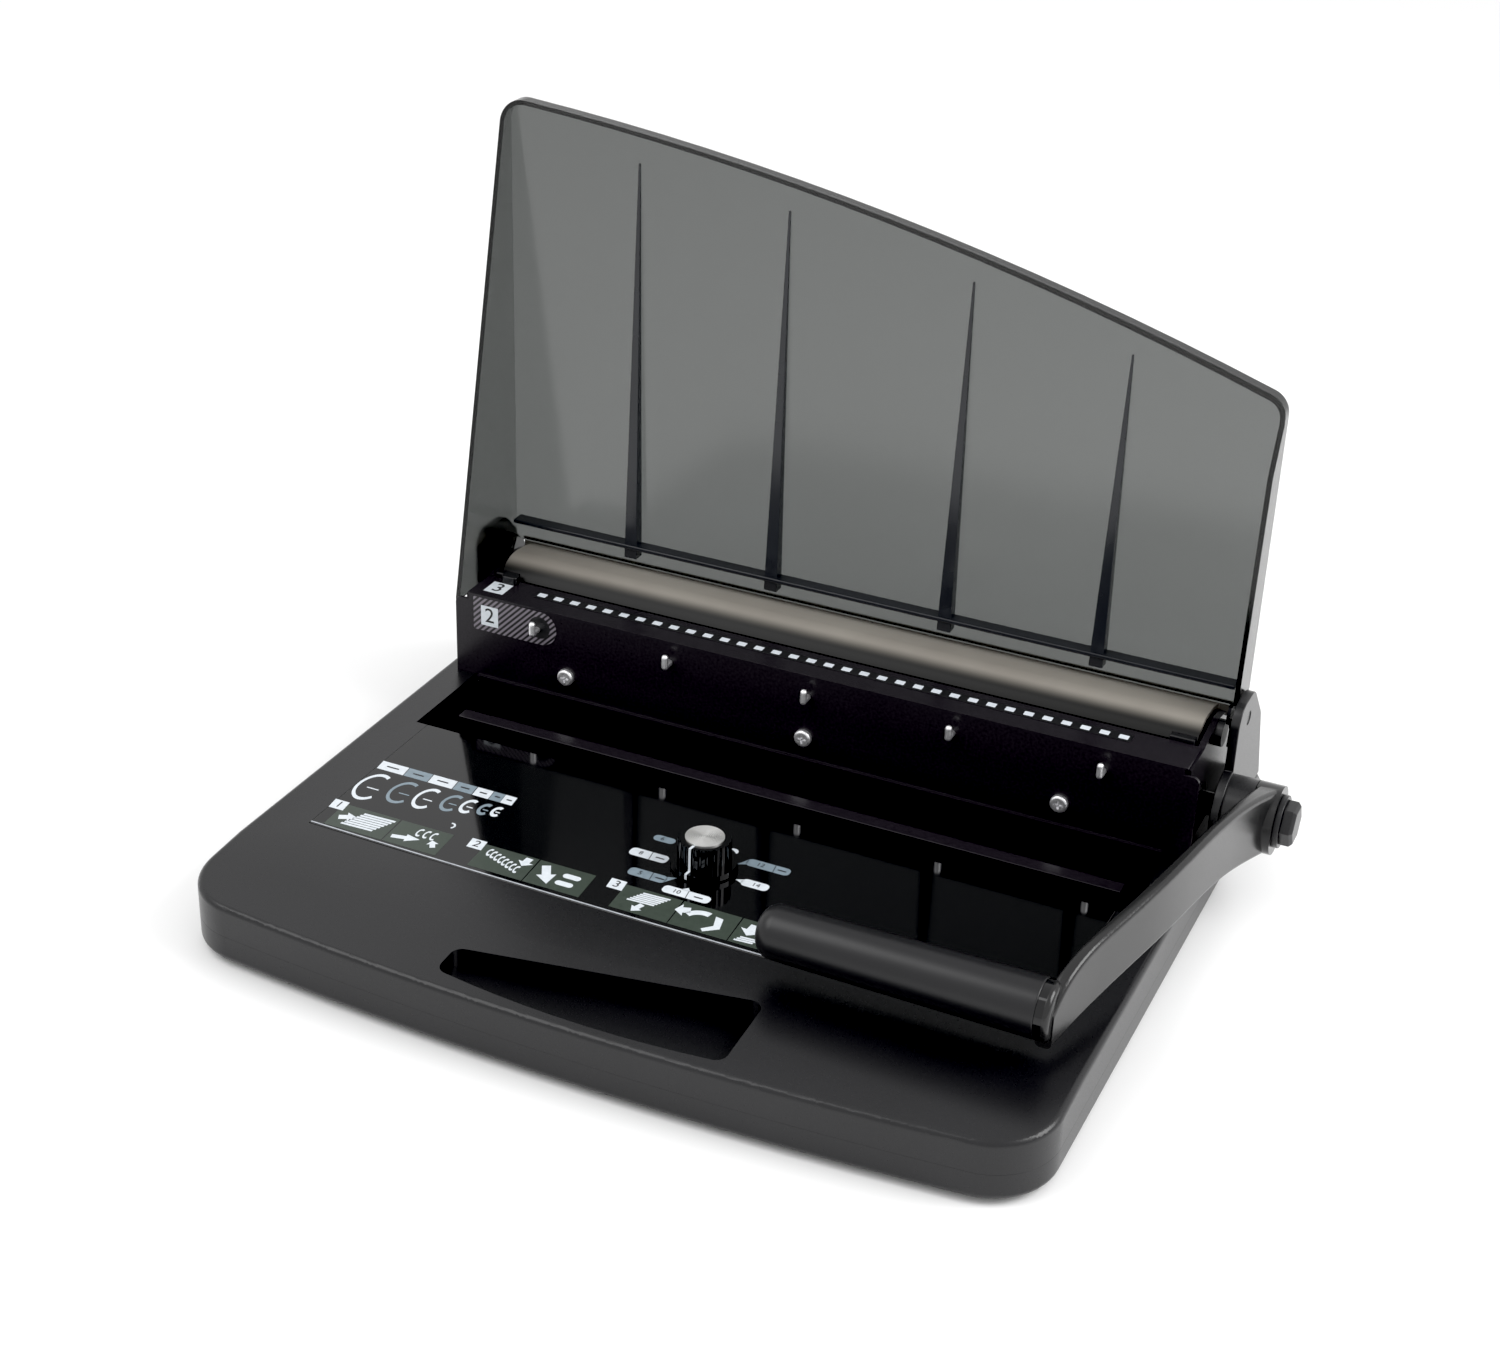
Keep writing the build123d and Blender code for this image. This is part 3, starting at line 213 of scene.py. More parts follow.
# %% Gloss black
WIPE_MM, WIPE_DRAWN_OUT, RIPPLE_MM = 24.0, 9.0, 45.0
material, tree, shader, place = start(
    "abs_polished_black", {"IOR": 1.5, "Base Color": srgb("#050507")}
)
across = add(
    tree, "ShaderNodeMapping", {"Vector": place, "Scale": (1.0, WIPE_DRAWN_OUT, 1.0)}
)
wipe = add(
    tree, "ShaderNodeTexNoise", {"Vector": across, "Scale": per_metre(WIPE_MM), "Detail": 6.0}
)
shine = add(tree, "ShaderNodeMapRange", {"Value": wipe, "To Min": 0.03, "To Max": 0.09})
ripple = add(
    tree, "ShaderNodeTexNoise", {"Vector": place, "Scale": per_metre(RIPPLE_MM), "Detail": 1.0}
)
bump = add(tree, "ShaderNodeBump", {"Height": ripple, "Strength": 0.2, "Distance": 0.05 * MM})
feed(tree, shader, {"Roughness": shine, "Normal": bump})
finishes["gloss_black"] = material
print("wipe marks drawn out", WIPE_DRAWN_OUT, "times along X")

# %% [markdown]
# ## Textured powder coat
#
# The front plate, the deck, the frames and the closer's jaw are sheet steel with a textured
# powder coat. The powder melts into round grains, here 0.8 mm, with darker hollows between them.
# Real grains would take millions of faces, so a cell pattern raises them in the shading alone.
# The coat is a little less shiny than plastic, because its grains turn much of the light away.

# %% Textured steel
POWDER_MM, FLECK_MM = 0.8, 1.3
material, tree, shader, place = start(
    "powder_coat_textured", {"IOR": 1.5, "Roughness": 0.24, "Specular IOR Level": 0.3}
)
pebble = add(
    tree,
    "ShaderNodeTexVoronoi",
    {"Vector": place, "Scale": per_metre(POWDER_MM)},
    feature="SMOOTH_F1",
)
fleck = add(
    tree, "ShaderNodeTexNoise", {"Vector": place, "Scale": per_metre(FLECK_MM), "Detail": 5.0}
)
powder = add(
    tree,
    "ShaderNodeMix",
    {"Factor": fleck, "A": srgb("#100e12"), "B": srgb("#272429")},
    data_type="RGBA",
)
bump = add(
    tree,
    "ShaderNodeBump",
    {"Height": pebble, "Strength": 0.25, "Distance": 0.08 * MM},
    invert=True,
)
feed(tree, shader, {"Base Color": powder, "Normal": bump})
finishes["textured_steel"] = material
print("powder grains drawn at", POWDER_MM, "mm")

# %% [markdown]
# ## Bare and plated metals
#
# The pins and rods are ground tool steel, the shaft, dies and closer rods are blackened and
# oiled, the tie and brackets are plain sheet, the screws under the tray are zinc plated, the
# hooks and face screws are bright plated, and the bushes are turned brass. They differ in colour
# and in the marks that the making leaves. Each could have a cell of its own, but their networks
# are alike, so one loop builds them from a table of colour, gloss, mark size in three directions
# and mark depth, the last two in millimetres.

# %% Metals
metal_table = {
    "tool_steel": ("ground_tool_steel", "#a3a4a8", 0.22, (0.5, 40.0, 40.0), 0.03),
    "black_oxide": ("blackened_tool_steel", "#1b1b1d", 0.3, (4.0, 4.0, 4.0), 0.03),
    "plate_steel": ("cold_rolled_sheet", "#85868a", 0.38, (6.0, 0.7, 6.0), 0.04),
    "zinc_steel": ("bright_zinc_plate", "#b4b7bd", 0.3, (3.0, 3.0, 3.0), 0.02),
    "bright_chrome": ("bright_plated_screws", "#f4f4f6", 0.42, (1.5, 1.5, 1.5), 0.05),
    "bush_brass": ("turned_brass", "#c29a52", 0.26, (9.0, 9.0, 0.6), 0.03),
}
SMOOTHER, ROUGHER = 0.75, 1.35
for finish, (name, colour, gloss, marks, depth) in metal_table.items():
    material, tree, shader, place = start(name, {"Metallic": 1.0, "Base Color": srgb(colour)})
    mark_scale = [per_metre(size) for size in marks]
    drawn = add(tree, "ShaderNodeMapping", {"Vector": place, "Scale": mark_scale})
    mark = add(tree, "ShaderNodeTexNoise", {"Vector": drawn, "Scale": 1.0, "Detail": 4.0})
    shine = add(
        tree,
        "ShaderNodeMapRange",
        {"Value": mark, "To Min": gloss * SMOOTHER, "To Max": gloss * ROUGHER},
    )
    bump = add(tree, "ShaderNodeBump", {"Height": mark, "Strength": 0.3, "Distance": depth * MM})
    feed(tree, shader, {"Roughness": shine, "Normal": bump})
    finishes[finish] = material
print("metals:", ", ".join(metal_table))

# %% [markdown]
# ## Spun aluminium
#
# The dial's cap is a disc turned on a lathe, so its marks are fine rings round the dial's axis.
# Each ring is a tiny groove, and together they throw the light out in bright and dark sectors.
# An anisotropic gloss would need a special tangent. Rings in the bump do the same here without
# one. A wave texture draws about three rings in each of its units, so these are 0.7 mm apart,
# coarser than on the real cap, so that they show.

# %% Spun aluminium cap
DIAL_Y = 110.0
RING_UNIT_MM = 2.2
material, tree, shader, place = start(
    "spun_aluminium_disc", {"Metallic": 1.0, "Base Color": srgb("#f1f1ef")}
)
centred = add(tree, "ShaderNodeMapping", {"Vector": place, "Location": -at(0, DIAL_Y, 0)})
rings = add(
    tree,
    "ShaderNodeTexWave",
    {"Vector": centred, "Scale": per_metre(RING_UNIT_MM), "Distortion": 0.4, "Detail": 2.0},
    wave_type="RINGS",
    rings_direction="Z",
).outputs["Fac"]
shine = add(tree, "ShaderNodeMapRange", {"Value": rings, "To Min": 0.34, "To Max": 0.5})
bump = add(tree, "ShaderNodeBump", {"Height": rings, "Strength": 1.0, "Distance": 0.12 * MM})
feed(tree, shader, {"Roughness": shine, "Normal": bump})
finishes["spun_aluminium"] = material
print("rings round", tuple(round(v, 4) for v in at(0, DIAL_Y, 0)))

# %% [markdown]
# ## Painted steel, soft grip and rubber
#
# The arm is cast metal under satin paint, the grip is a soft satin plastic, and the feet are
# moulded rubber. All three are even in colour with a fine grit in the surface, so one network
# would do for them. A table and a loop keep them three materials, each with its own two tones,
# gloss, grit size and grit depth, the last two in millimetres.

# %% Painted and soft finishes
soft_table = {
    "painted_arm": ("satin_enamel_arm", "#121212", "#1e1e1f", 0.2, 1.4, 0.03),
    "satin_grip": ("satin_soft_grip", "#08080a", "#121216", 0.33, 0.7, 0.03),
    "foot_rubber": ("moulded_rubber_foot", "#1d1d1e", "#27272a", 0.75, 0.5, 0.08),
}
TONE_CLOUD_MM = 35.0
for finish, (name, dark, light, gloss, grit, depth) in soft_table.items():
    material, tree, shader, place = start(name, {"IOR": 1.5})
    speck = add(
        tree, "ShaderNodeTexNoise", {"Vector": place, "Scale": per_metre(grit), "Detail": 3.0}
    )
    cloud = add(
        tree,
        "ShaderNodeTexNoise",
        {"Vector": place, "Scale": per_metre(TONE_CLOUD_MM), "Detail": 2.0},
    )
    tone = add(
        tree,
        "ShaderNodeMix",
        {"Factor": cloud, "A": srgb(dark), "B": srgb(light)},
        data_type="RGBA",
    )
    shine = add(
        tree,
        "ShaderNodeMapRange",
        {"Value": speck, "To Min": gloss - 0.05, "To Max": gloss + 0.06},
    )
    bump = add(tree, "ShaderNodeBump", {"Height": speck, "Strength": 0.2, "Distance": depth * MM})
    feed(tree, shader, {"Base Color": tone, "Roughness": shine, "Normal": bump})
    finishes[finish] = material
print("soft finishes:", ", ".join(soft_table))

# %% [markdown]
# ## Warm grey cover
#
# The curved cover behind the throat has a warm grey enamel. Along its front edge, next to the
# throat, the colour is darkened with painted shade, for the shade that falls into the throat, and
# the painted shade fades out on the way back to the crest. It could be painted on as a mask, but
# the cover would have to be unwrapped for that. Here the change follows the depth on the machine,
# so it stays put from every side.

# %% Cover enamel
# Painted shade: darkest at the first depth and gone at the second, in millimetres.
COVER_SHADE_Y, COVER_LIT_Y = 239.5, 246.0
ENAMEL_CLOUD_MM, ORANGE_PEEL_MM = 30.0, 1.2
material, tree, shader, place = start(
    "satin_enamel_cover", {"IOR": 1.5, "Roughness": 0.36, "Specular IOR Level": 0.25}
)
back = add(tree, "ShaderNodeSeparateXYZ", {"Vector": place}).outputs["Y"]
shade_from, lit_from = at(0, COVER_SHADE_Y, 0).y, at(0, COVER_LIT_Y, 0).y
out_of_shade = add(
    tree,
    "ShaderNodeMapRange",
    {"Value": back, "From Min": shade_from, "From Max": lit_from},
    interpolation_type="SMOOTHSTEP",
)
cloud = add(
    tree,
    "ShaderNodeTexNoise",
    {"Vector": place, "Scale": per_metre(ENAMEL_CLOUD_MM), "Detail": 3.0},
)
enamel = add(
    tree,
    "ShaderNodeMix",
    {"Factor": cloud, "A": srgb("#847f78"), "B": srgb("#96928a")},
    data_type="RGBA",
)
# Painted shade: the enamel is mixed towards near black at the throat's edge.
tone = add(
    tree,
    "ShaderNodeMix",
    {"Factor": out_of_shade, "A": srgb("#0b0b0a"), "B": enamel},
    data_type="RGBA",
)
peel = add(
    tree, "ShaderNodeTexNoise", {"Vector": place, "Scale": per_metre(ORANGE_PEEL_MM), "Detail": 3.0}
)
bump = add(tree, "ShaderNodeBump", {"Height": peel, "Strength": 0.2, "Distance": 0.04 * MM})
feed(tree, shader, {"Base Color": tone, "Normal": bump})
finishes["cover_grey"] = material
print("cover clears from", COVER_SHADE_Y, "to", COVER_LIT_Y, "mm")

# %% [markdown]
# ## Smoked acrylic
#
# The lid is clear acrylic with a grey dye all through it. The surface itself is colourless and
# faintly satin from wiping, so it mirrors the machine only dimly. The colour comes from the
# depth of plastic that the light crosses: about a seventh passes the 2.2 mm sheet. A tinted
# surface would be as dark at the edges as in the middle, so the dye is a volume that only
# absorbs.

# %% Smoked acrylic
SHEET_THICK, SHEET_PASSES = 2.2, 0.15
ACRYLIC_IOR, HAZE_MM = 1.49, 30.0
material, tree, shader, place = start(
    "smoked_acrylic",
    {"IOR": ACRYLIC_IOR, "Transmission Weight": 1.0, "Base Color": srgb("#ffffff")},
)
haze = add(
    tree, "ShaderNodeTexNoise", {"Vector": place, "Scale": per_metre(HAZE_MM), "Detail": 3.0}
)
shine = add(tree, "ShaderNodeMapRange", {"Value": haze, "To Min": 0.12, "To Max": 0.2})
feed(tree, shader, {"Roughness": shine})
density = -log(SHEET_PASSES) / (SHEET_THICK * MM)
dye = add(tree, "ShaderNodeVolumeAbsorption", {"Color": srgb("#002719"), "Density": density})
feed(tree, tree.nodes["Material Output"], {"Volume": dye})
finishes["smoked_plastic"] = material
print("dye density per metre:", round(density))

# %% [markdown]
# ## Smoked acrylic where it is deep
#
# The ribs and the shelf stand nearly 6 mm deep, where hardly any light gets through. Clear ones
# with the dye in them would need many light bounces and still sparkle, so they get a nearly
# black form of the acrylic, with slow clouds like the light that does get through.

# %% Deep acrylic
DEPTH_CLOUD_MM = 25.0
material, tree, shader, place = start(
    "smoked_acrylic_deep", {"IOR": ACRYLIC_IOR, "Roughness": 0.16}
)
cloud = add(
    tree,
    "ShaderNodeTexNoise",
    {"Vector": place, "Scale": per_metre(DEPTH_CLOUD_MM), "Detail": 2.0},
)
tone = add(
    tree,
    "ShaderNodeMix",
    {"Factor": cloud, "A": srgb("#14161a"), "B": srgb("#24262b")},
    data_type="RGBA",
)
feed(tree, shader, {"Base Color": tone})
finishes["smoked_deep"] = material
print("deep acrylic for the ribs and the shelf")

# %% [markdown]
# ## Printed inks
#
# The panel, the plate and the deck carry screen-printed marks: opaque ink, slightly rough, a few
# hundredths of a millimetre proud. One flat colour would look like a sticker on the screen. Each
# ink has a little mottle instead, where the screen laid it down unevenly, and a loop makes them
# all from their two tones. The bright line along the panel is foil, stamped hot, and goes with
# the inks.

# %% Inks
ink_table = {
    "ruler_white": ("screen_ink_white", "#c2c9d2", "#e3e8ee"),
    "ink_white": ("screen_ink_panel_white", "#c0c7ce", "#dee4e9"),
    "ink_blue": ("screen_ink_slate", "#6b7982", "#8595a0"),
    "ink_green": ("screen_ink_moss", "#2e3730", "#3a443c"),
    "ink_black": ("screen_ink_black", "#0c0c0e", "#18181b"),
    "trim_bright": ("hot_foil_trim", "#8f9399", "#c0c4ca"),
}
MOTTLE_MM = 2.5
for finish, (name, dark, light) in ink_table.items():
    material, tree, shader, place = start(name, {"IOR": 1.5})
    mottle = add(
        tree, "ShaderNodeTexNoise", {"Vector": place, "Scale": per_metre(MOTTLE_MM), "Detail": 3.0}
    )
    tone = add(
        tree,
        "ShaderNodeMix",
        {"Factor": mottle, "A": srgb(dark), "B": srgb(light)},
        data_type="RGBA",
    )
    shine = add(tree, "ShaderNodeMapRange", {"Value": mottle, "To Min": 0.3, "To Max": 0.5})
    feed(tree, shader, {"Base Color": tone, "Roughness": shine})
    finishes[finish] = material
print("inks:", ", ".join(ink_table))

# %% [markdown]
# ## Hatched label film
#
# The label on the plate is a film printed with slanting lines, about 1.5 mm from line to line.
# They are 2 mm apart here, so that they show. Each line could be a print of its own, but a wave
# texture turned by 45 degrees draws them all. It repeats about three times in each of its units,
# and a steep ramp turns its soft waves into lines.

# %% Hatched label
HATCH_UNIT_MM, HATCH_SLANT = 6.4, -45
material, tree, shader, place = start("label_film_hatched", {"IOR": 1.5, "Roughness": 0.4})
slanted = add(
    tree, "ShaderNodeMapping", {"Vector": place, "Rotation": (0.0, radians(HATCH_SLANT), 0.0)}
)
hatching = add(
    tree,
    "ShaderNodeTexWave",
    {"Vector": slanted, "Scale": per_metre(HATCH_UNIT_MM)},
    wave_type="BANDS",
    bands_direction="X",
).outputs["Fac"]
crisp = add(
    tree, "ShaderNodeMapRange", {"Value": hatching, "From Min": 0.35, "From Max": 0.65}
)
tone = add(
    tree,
    "ShaderNodeMix",
    {"Factor": crisp, "A": srgb("#0c0a0e"), "B": srgb("#77717a")},
    data_type="RGBA",
)
feed(tree, shader, {"Base Color": tone})
finishes["label_hatched"] = material
print("finishes:", len(finishes))

# %% [markdown]
# ## Every solid gets its finish
#
# The model's record says which finish each solid has, so no list of solids is typed again here.
# All of them are painted, also the inner ones, because the mechanism is seen when the lever, the
# drawer or the dial moves.

# %% Paint the solids
slot_of = {row["node"]: row["material_slot"] for row in frame["record"]["subparts"]}
body_of = {
    node: body for body, nodes in frame["record"]["behaviour"]["bodies"].items() for node in nodes
}
for name, solid in frame["nodes"].items():
    solid.data.materials.clear()
    solid.data.materials.append(finishes[slot_of[name]])
print("painted", len(slot_of), "solids")

# %% [markdown]
# ## Softened edges
#
# A moulded or bent edge is never truly sharp: it has a small radius, and that radius catches a
# thin line of light that tells the eye how the piece is made. A modifier would find no edge to
# round, because a solid's mesh is loose triangles, each with corners of its own. So a copy is
# merged first, its flat triangles are joined, and then its sharp edges are bevelled. The copy
# stands for the solid, which stays behind it for the mechanics.

# %% Helpers for dressed copies
MERGE_MM, FLAT_DEG, SHARP_DEG = 0.002, 0.5, 28


def merged_copy(node):
    """A bmesh of a solid with its loose triangles merged and its flat ones joined."""
    bm = bmesh.new()
    bm.from_mesh(frame["nodes"][node].data)
    bmesh.ops.remove_doubles(bm, verts=bm.verts, dist=MERGE_MM * MM)
    bmesh.ops.dissolve_limit(bm, angle_limit=radians(FLAT_DEG), verts=bm.verts, edges=bm.edges)
    return bm


def round_edges(bm, radius, edges=None, segments=2):
    """Bevel these edges by a radius in millimetres, or every edge sharper than SHARP_DEG."""
    if edges is None:
        paired = [e for e in bm.edges if len(e.link_faces) == 2]
        edges = [e for e in paired if e.calc_face_angle() > radians(SHARP_DEG)]
    bmesh.ops.bevel(
        bm,
        geom=edges,
        offset=radius * MM,
        offset_type="OFFSET",
        segments=segments,
        profile=0.5,
        affect="EDGES",
        clamp_overlap=True,
        material=-1,
    )


def finish_piece(name, bm, body, finish):
    """Make a bmesh a piece that rides on a body, shaded smooth with its flat faces kept flat."""
    mesh = bpy.data.meshes.new(name)
    bm.to_mesh(mesh)
    bm.free()
    mesh.materials.append(finishes[finish])
    mesh.shade_smooth()
    piece = bpy.data.objects.new(name, mesh)
    bpy.context.scene.collection.objects.link(piece)
    weights = piece.modifiers.new("flat_faces_lead", "WEIGHTED_NORMAL")
    weights.keep_sharp = True
    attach(piece, body)
    print(name, len(mesh.polygons), "faces")
    return piece


# %% [markdown]
# ## How much each edge is softened
#
# Large mouldings have a radius of 0.5 to 0.8 mm, bent sheet and the cast arm 0.4 to 0.5 mm, and
# the small pieces 0.3 to 0.4 mm. Only these solids are dressed: the edges of the others are too
# small or too deep inside to catch a line of light, and rounding them would only cost faces.

# %% Softened solids
softened = {
    "base_shell": 0.6,
    "bottom_tray": 0.6,
    "gloss_panel": 0.5,
    "front_plate": 0.5,
    "top_deck": 0.4,
    "left_end_block": 0.6,
    "right_end_block": 0.6,
    "left_ear": 0.8,
    "right_ear": 0.8,
    "rear_cover": 0.5,
    "lever_arm": 0.5,
    "chip_drawer": 0.4,
    "edge_guide": 0.4,
    "pivot_cap": 0.3,
    "pivot_collar": 0.3,
    "closer_jaw": 0.3,
    "lid_shell": 0.5,
}
for node, radius in softened.items():
    copy = merged_copy(node)
    round_edges(copy, radius)
    piece = finish_piece(node + "_dressed", copy, body_of[node], slot_of[node])
    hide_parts(node)

# %% [markdown]
# ## Ribs of the lid
#
# Four tapered ribs stiffen the lid. A rib could be a stretched wedge, but then its roundness
# would be stretched too. Here each one starts as the outline of its foot, is drawn up to its tip
# and narrowed there, and its edges are rounded last. It stays a hair clear of the sheet, because
# two faces in the same place flicker.

# %% Ribs
SHEET_Y, HAIR = 269.0, 0.05
RIB_FOOT_Z, RIB_HALF, RIB_DEEP, RIB_TAPER = 80.0, 3.2, 5.8, 0.14
RIB_PLACES = ((-114.0, 268.0), (-42.0, 258.5), (43.0, 241.7), (114.0, 223.0))


def drawn_out(bm, face, way):
    """Extrude a face along a vector in metres. Returns the corners of the far end."""
    far = bmesh.ops.extrude_face_region(bm, geom=[face])["geom"]
    far = [v for v in far if isinstance(v, bmesh.types.BMVert)]
    bmesh.ops.translate(bm, vec=way, verts=far)
    return far


ribs = bmesh.new()
foot = ((-RIB_HALF, HAIR), (RIB_HALF, HAIR), (RIB_HALF, RIB_DEEP), (-RIB_HALF, RIB_DEEP))
for x, tip_z in RIB_PLACES:
    corners = [ribs.verts.new(at(x + side, SHEET_Y - deep, RIB_FOOT_Z)) for side, deep in foot]
    tip = drawn_out(ribs, ribs.faces.new(corners), (0, 0, (tip_z - RIB_FOOT_Z) * MM))
    pin_down = Matrix.Translation(-at(x, SHEET_Y - HAIR, tip_z))
    bmesh.ops.scale(ribs, vec=(RIB_TAPER, RIB_TAPER, 1.0), space=pin_down, verts=tip)
bmesh.ops.recalc_face_normals(ribs, faces=ribs.faces)
round_edges(ribs, radius=0.25)
piece = finish_piece("lid_ribs_dressed", ribs, "lid", "smoked_deep")
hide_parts("lid_ribs")

# %% [markdown]
# ## Shelf of the lid
#
# A shelf runs across the feet of the ribs and ties them together. It is a plain long bar, so it
# is a cube that is scaled between two corners of the drawing, with its edges rounded afterwards,
# when the scaling can no longer stretch them.

# %% Shelf
SHELF = ((-176.0, SHEET_Y - 7.0, 85.0), (176.0, SHEET_Y - HAIR, 87.0))


def box(bm, low, high):
    """A block between two places on the drawing."""
    low, high = at(*low), at(*high)
    corners = bmesh.ops.create_cube(bm, size=1.0)["verts"]
    bmesh.ops.scale(bm, vec=high - low, verts=corners)
    bmesh.ops.translate(bm, vec=(low + high) / 2, verts=corners)


shelf = bmesh.new()
box(shelf, *SHELF)
round_edges(shelf, radius=0.4)
piece = finish_piece("lid_shelf_dressed", shelf, "lid", "smoked_deep")
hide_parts("lid_shelf")

# %% [markdown]
# ## The rib that the open lid leans on
#
# A low rib stands on the back of the cover, just behind the open lid. It stops the lid and
# closes the gap under it, so that no daylight shows between them. It could follow the cover's
# slope, but only its top is seen, so it is one long bar, sunk into the slope and a little longer
# than the cover, because daylight would show at its ends too.

# %% Rest rib
REST_RIB = ((-176.0, 272.3, 66.5), (176.0, 273.5, 74.3))
rest = bmesh.new()
box(rest, *REST_RIB)
round_edges(rest, radius=0.35)
finish_piece("lid_rest_rib", rest, "base", "cover_grey")

# %% [markdown]
# ## Marks printed on the panel
#
# The panel carries a size chart, three numbered groups of work steps and a scale round the dial.
# Prints could be painted into the panel's material, but a printed mark is a real layer of ink
# with a crisp edge, so each one is a thin solid that stands 0.05 mm proud. Plate and deck carry
# a few prints too, so each helper is told which surface it prints on.

# %% Helpers for prints
INK, PRINT_MERGE_MM = 0.05, 0.0005
PANEL_Z = 30.1


def on_panel(u, v, lift):
    """A place on the panel: to the right, to the back, and up off it."""
    return at(u, v, PANEL_Z + lift)


def patch(bm, points, low=0.0, thick=INK, on=on_panel):
    """A flat print with these corners in order, low millimetres off its surface and this thick."""
    face = bm.faces.new([bm.verts.new(on(u, v, low)) for u, v in points])
    drawn_out(bm, face, on(0, 0, thick) - on(0, 0, 0))


def leaning(bm, left, right, low, high, lean=0.0, lift=0.0, thick=INK, on=on_panel):
    """A four-cornered print whose upper edge leans to the left by so many millimetres."""
    upper = [(right - lean, high), (left - lean, high)]
    patch(bm, [(left, low), (right, low)] + upper, lift, thick, on)


def print_piece(name, bm, body, ink):
    """Finish a print: recalculated outwards, riding on its body, with crisp flat faces."""
    bmesh.ops.remove_doubles(bm, verts=bm.verts, dist=PRINT_MERGE_MM * MM)
    bmesh.ops.recalc_face_normals(bm, faces=bm.faces)
    piece = finish_piece(name, bm, body, ink)
    piece.data.shade_flat()


# %% [markdown]
# ## Bright line along the panel's front
#
# A foil line closes the panel's front edge and bows forwards at its middle, as the base's front
# does. A curve with a bevel could follow the bow, but it would be round like a wire. A strip of
# short straight runs between two parabolas is flat, as foil is, and twenty runs look like one
# bow.

# %% Bright line
TRIM_REACH, TRIM_FRONT, TRIM_BOW, TRIM_RUNS = 161.8, 62.5, 1.9, 10
TRIM_HALF, TRIM_THICK = 0.35, 0.12
bm = bmesh.new()
shares = [run / TRIM_RUNS for run in range(-TRIM_RUNS, TRIM_RUNS + 1)]
bow = [(share * TRIM_REACH, TRIM_FRONT + TRIM_BOW * share**2) for share in shares]
front_edge = [(x, y - TRIM_HALF) for x, y in bow]
back_edge = [(x, y + TRIM_HALF) for x, y in reversed(bow)]
patch(bm, front_edge + back_edge, thick=TRIM_THICK)
print_piece("panel_trim_line", bm, "base", "trim_bright")

# %% [markdown]
# ## Size chart
#
# The chart at the panel's left tells which wire suits which stack of paper: seven slanting boxes
# in a row, each with an open ring under it, smaller from left to right. A ring could be typed in
# as points, but a short line's cross-section that is spun round and then drawn out to an oval
# gives every size from one helper.

# %% Helpers for the chart
RING_STEPS, CORNER_STEPS = 28, 6


def open_ring(bm, centre, size, line, start_deg, turn_deg, lift=0.0):
    """An open oval ring on the panel: a line's cross-section spun round, then drawn out to size."""
    (x, y), radius = centre, size[0] / 2
    before, middle = set(bm.verts), on_panel(x, y, lift)
    section = ((radius - line, 0), (radius, 0), (radius, INK), (radius - line, INK))
    corners = [bm.verts.new(on_panel(x + out, y, lift + up)) for out, up in section]
    turned = Matrix.Rotation(radians(start_deg), 3, "Z")
    bmesh.ops.rotate(bm, cent=middle, matrix=turned, verts=corners)
    bmesh.ops.spin(
        bm,
        geom=[bm.faces.new(corners)],
        cent=middle,
        axis=(0, 0, 1),
        angle=radians(turn_deg),
        steps=RING_STEPS,
        use_duplicate=False,
    )
    drawn = [v for v in bm.verts if v not in before]
    pin_down = Matrix.Translation(-middle)
    bmesh.ops.scale(bm, vec=(1.0, size[1] / size[0], 1.0), space=pin_down, verts=drawn)


def lozenge(bm, low, high, round_by, lift=0.0, thick=INK, on=on_panel):
    """A print with rounded corners between two opposite corners."""
    before = set(bm.faces)
    leaning(bm, low[0], high[0], low[1], high[1], 0.0, lift, thick, on)
    edges = {e for f in set(bm.faces) - before for e in f.edges}
    upright = [e for e in edges if e.calc_length() < 2 * thick * MM]
    round_edges(bm, round_by, upright, segments=CORNER_STEPS)


# %% Size chart
BOX_LOW, BOX_HIGH, BOX_LEAN = 114.5, 121.2, 0.8
RING_TOP, CHART_LINE, RING_OPEN_FROM, RING_TURN = 111.4, 1.3, 62.0, 255.0
BAR_LOW, BAR_HIGH, BAR_DOWN, BAR_LEFT, BAR_RIGHT = 111.2, 111.9, 0.55, 0.12, 0.3
WORD_LOW, WORD_HIGH, WORD_LEFT, WORD_RIGHT = 117.4, 118.3, 0.26, 0.2
chart = (
    # the box's left and right, and the ring's middle, width and height
    (-161.2, -148.0, -154.6, 13.8, 23.0),
    (-147.6, -135.8, -140.2, 12.2, 18.8),
    (-135.4, -123.4, -128.6, 10.6, 17.8),
    (-123.0, -113.6, -117.2, 9.0, 14.2),
    (-113.2, -105.4, -109.4, 7.2, 12.0),
    (-105.1, -99.6, -102.2, 5.9, 9.8),
    (-99.4, -93.8, -96.6, 5.2, 8.4),
)
white, slate = bmesh.new(), bmesh.new()
for i, (left, right, middle, width, height) in enumerate(chart):
    ink = slate if i % 2 else white
    leaning(ink, left, right, BOX_LOW, BOX_HIGH, BOX_LEAN)
    centre, ring = (middle, RING_TOP - height / 2), (width, height)
    open_ring(ink, centre, ring, CHART_LINE, RING_OPEN_FROM, RING_TURN)
    bar_low, bar_high = BAR_LOW - height * BAR_DOWN, BAR_HIGH - height * BAR_DOWN
    leaning(ink, middle - width * BAR_LEFT, middle + width * BAR_RIGHT, bar_low, bar_high)
open_ring(white, (-108.2, 88.6), (4.2, 4.6), line=0.8, start_deg=-60.0, turn_deg=170.0)
print_piece("chart_white", white, "base", "ink_white")
print_piece("chart_slate", slate, "base", "ink_blue")

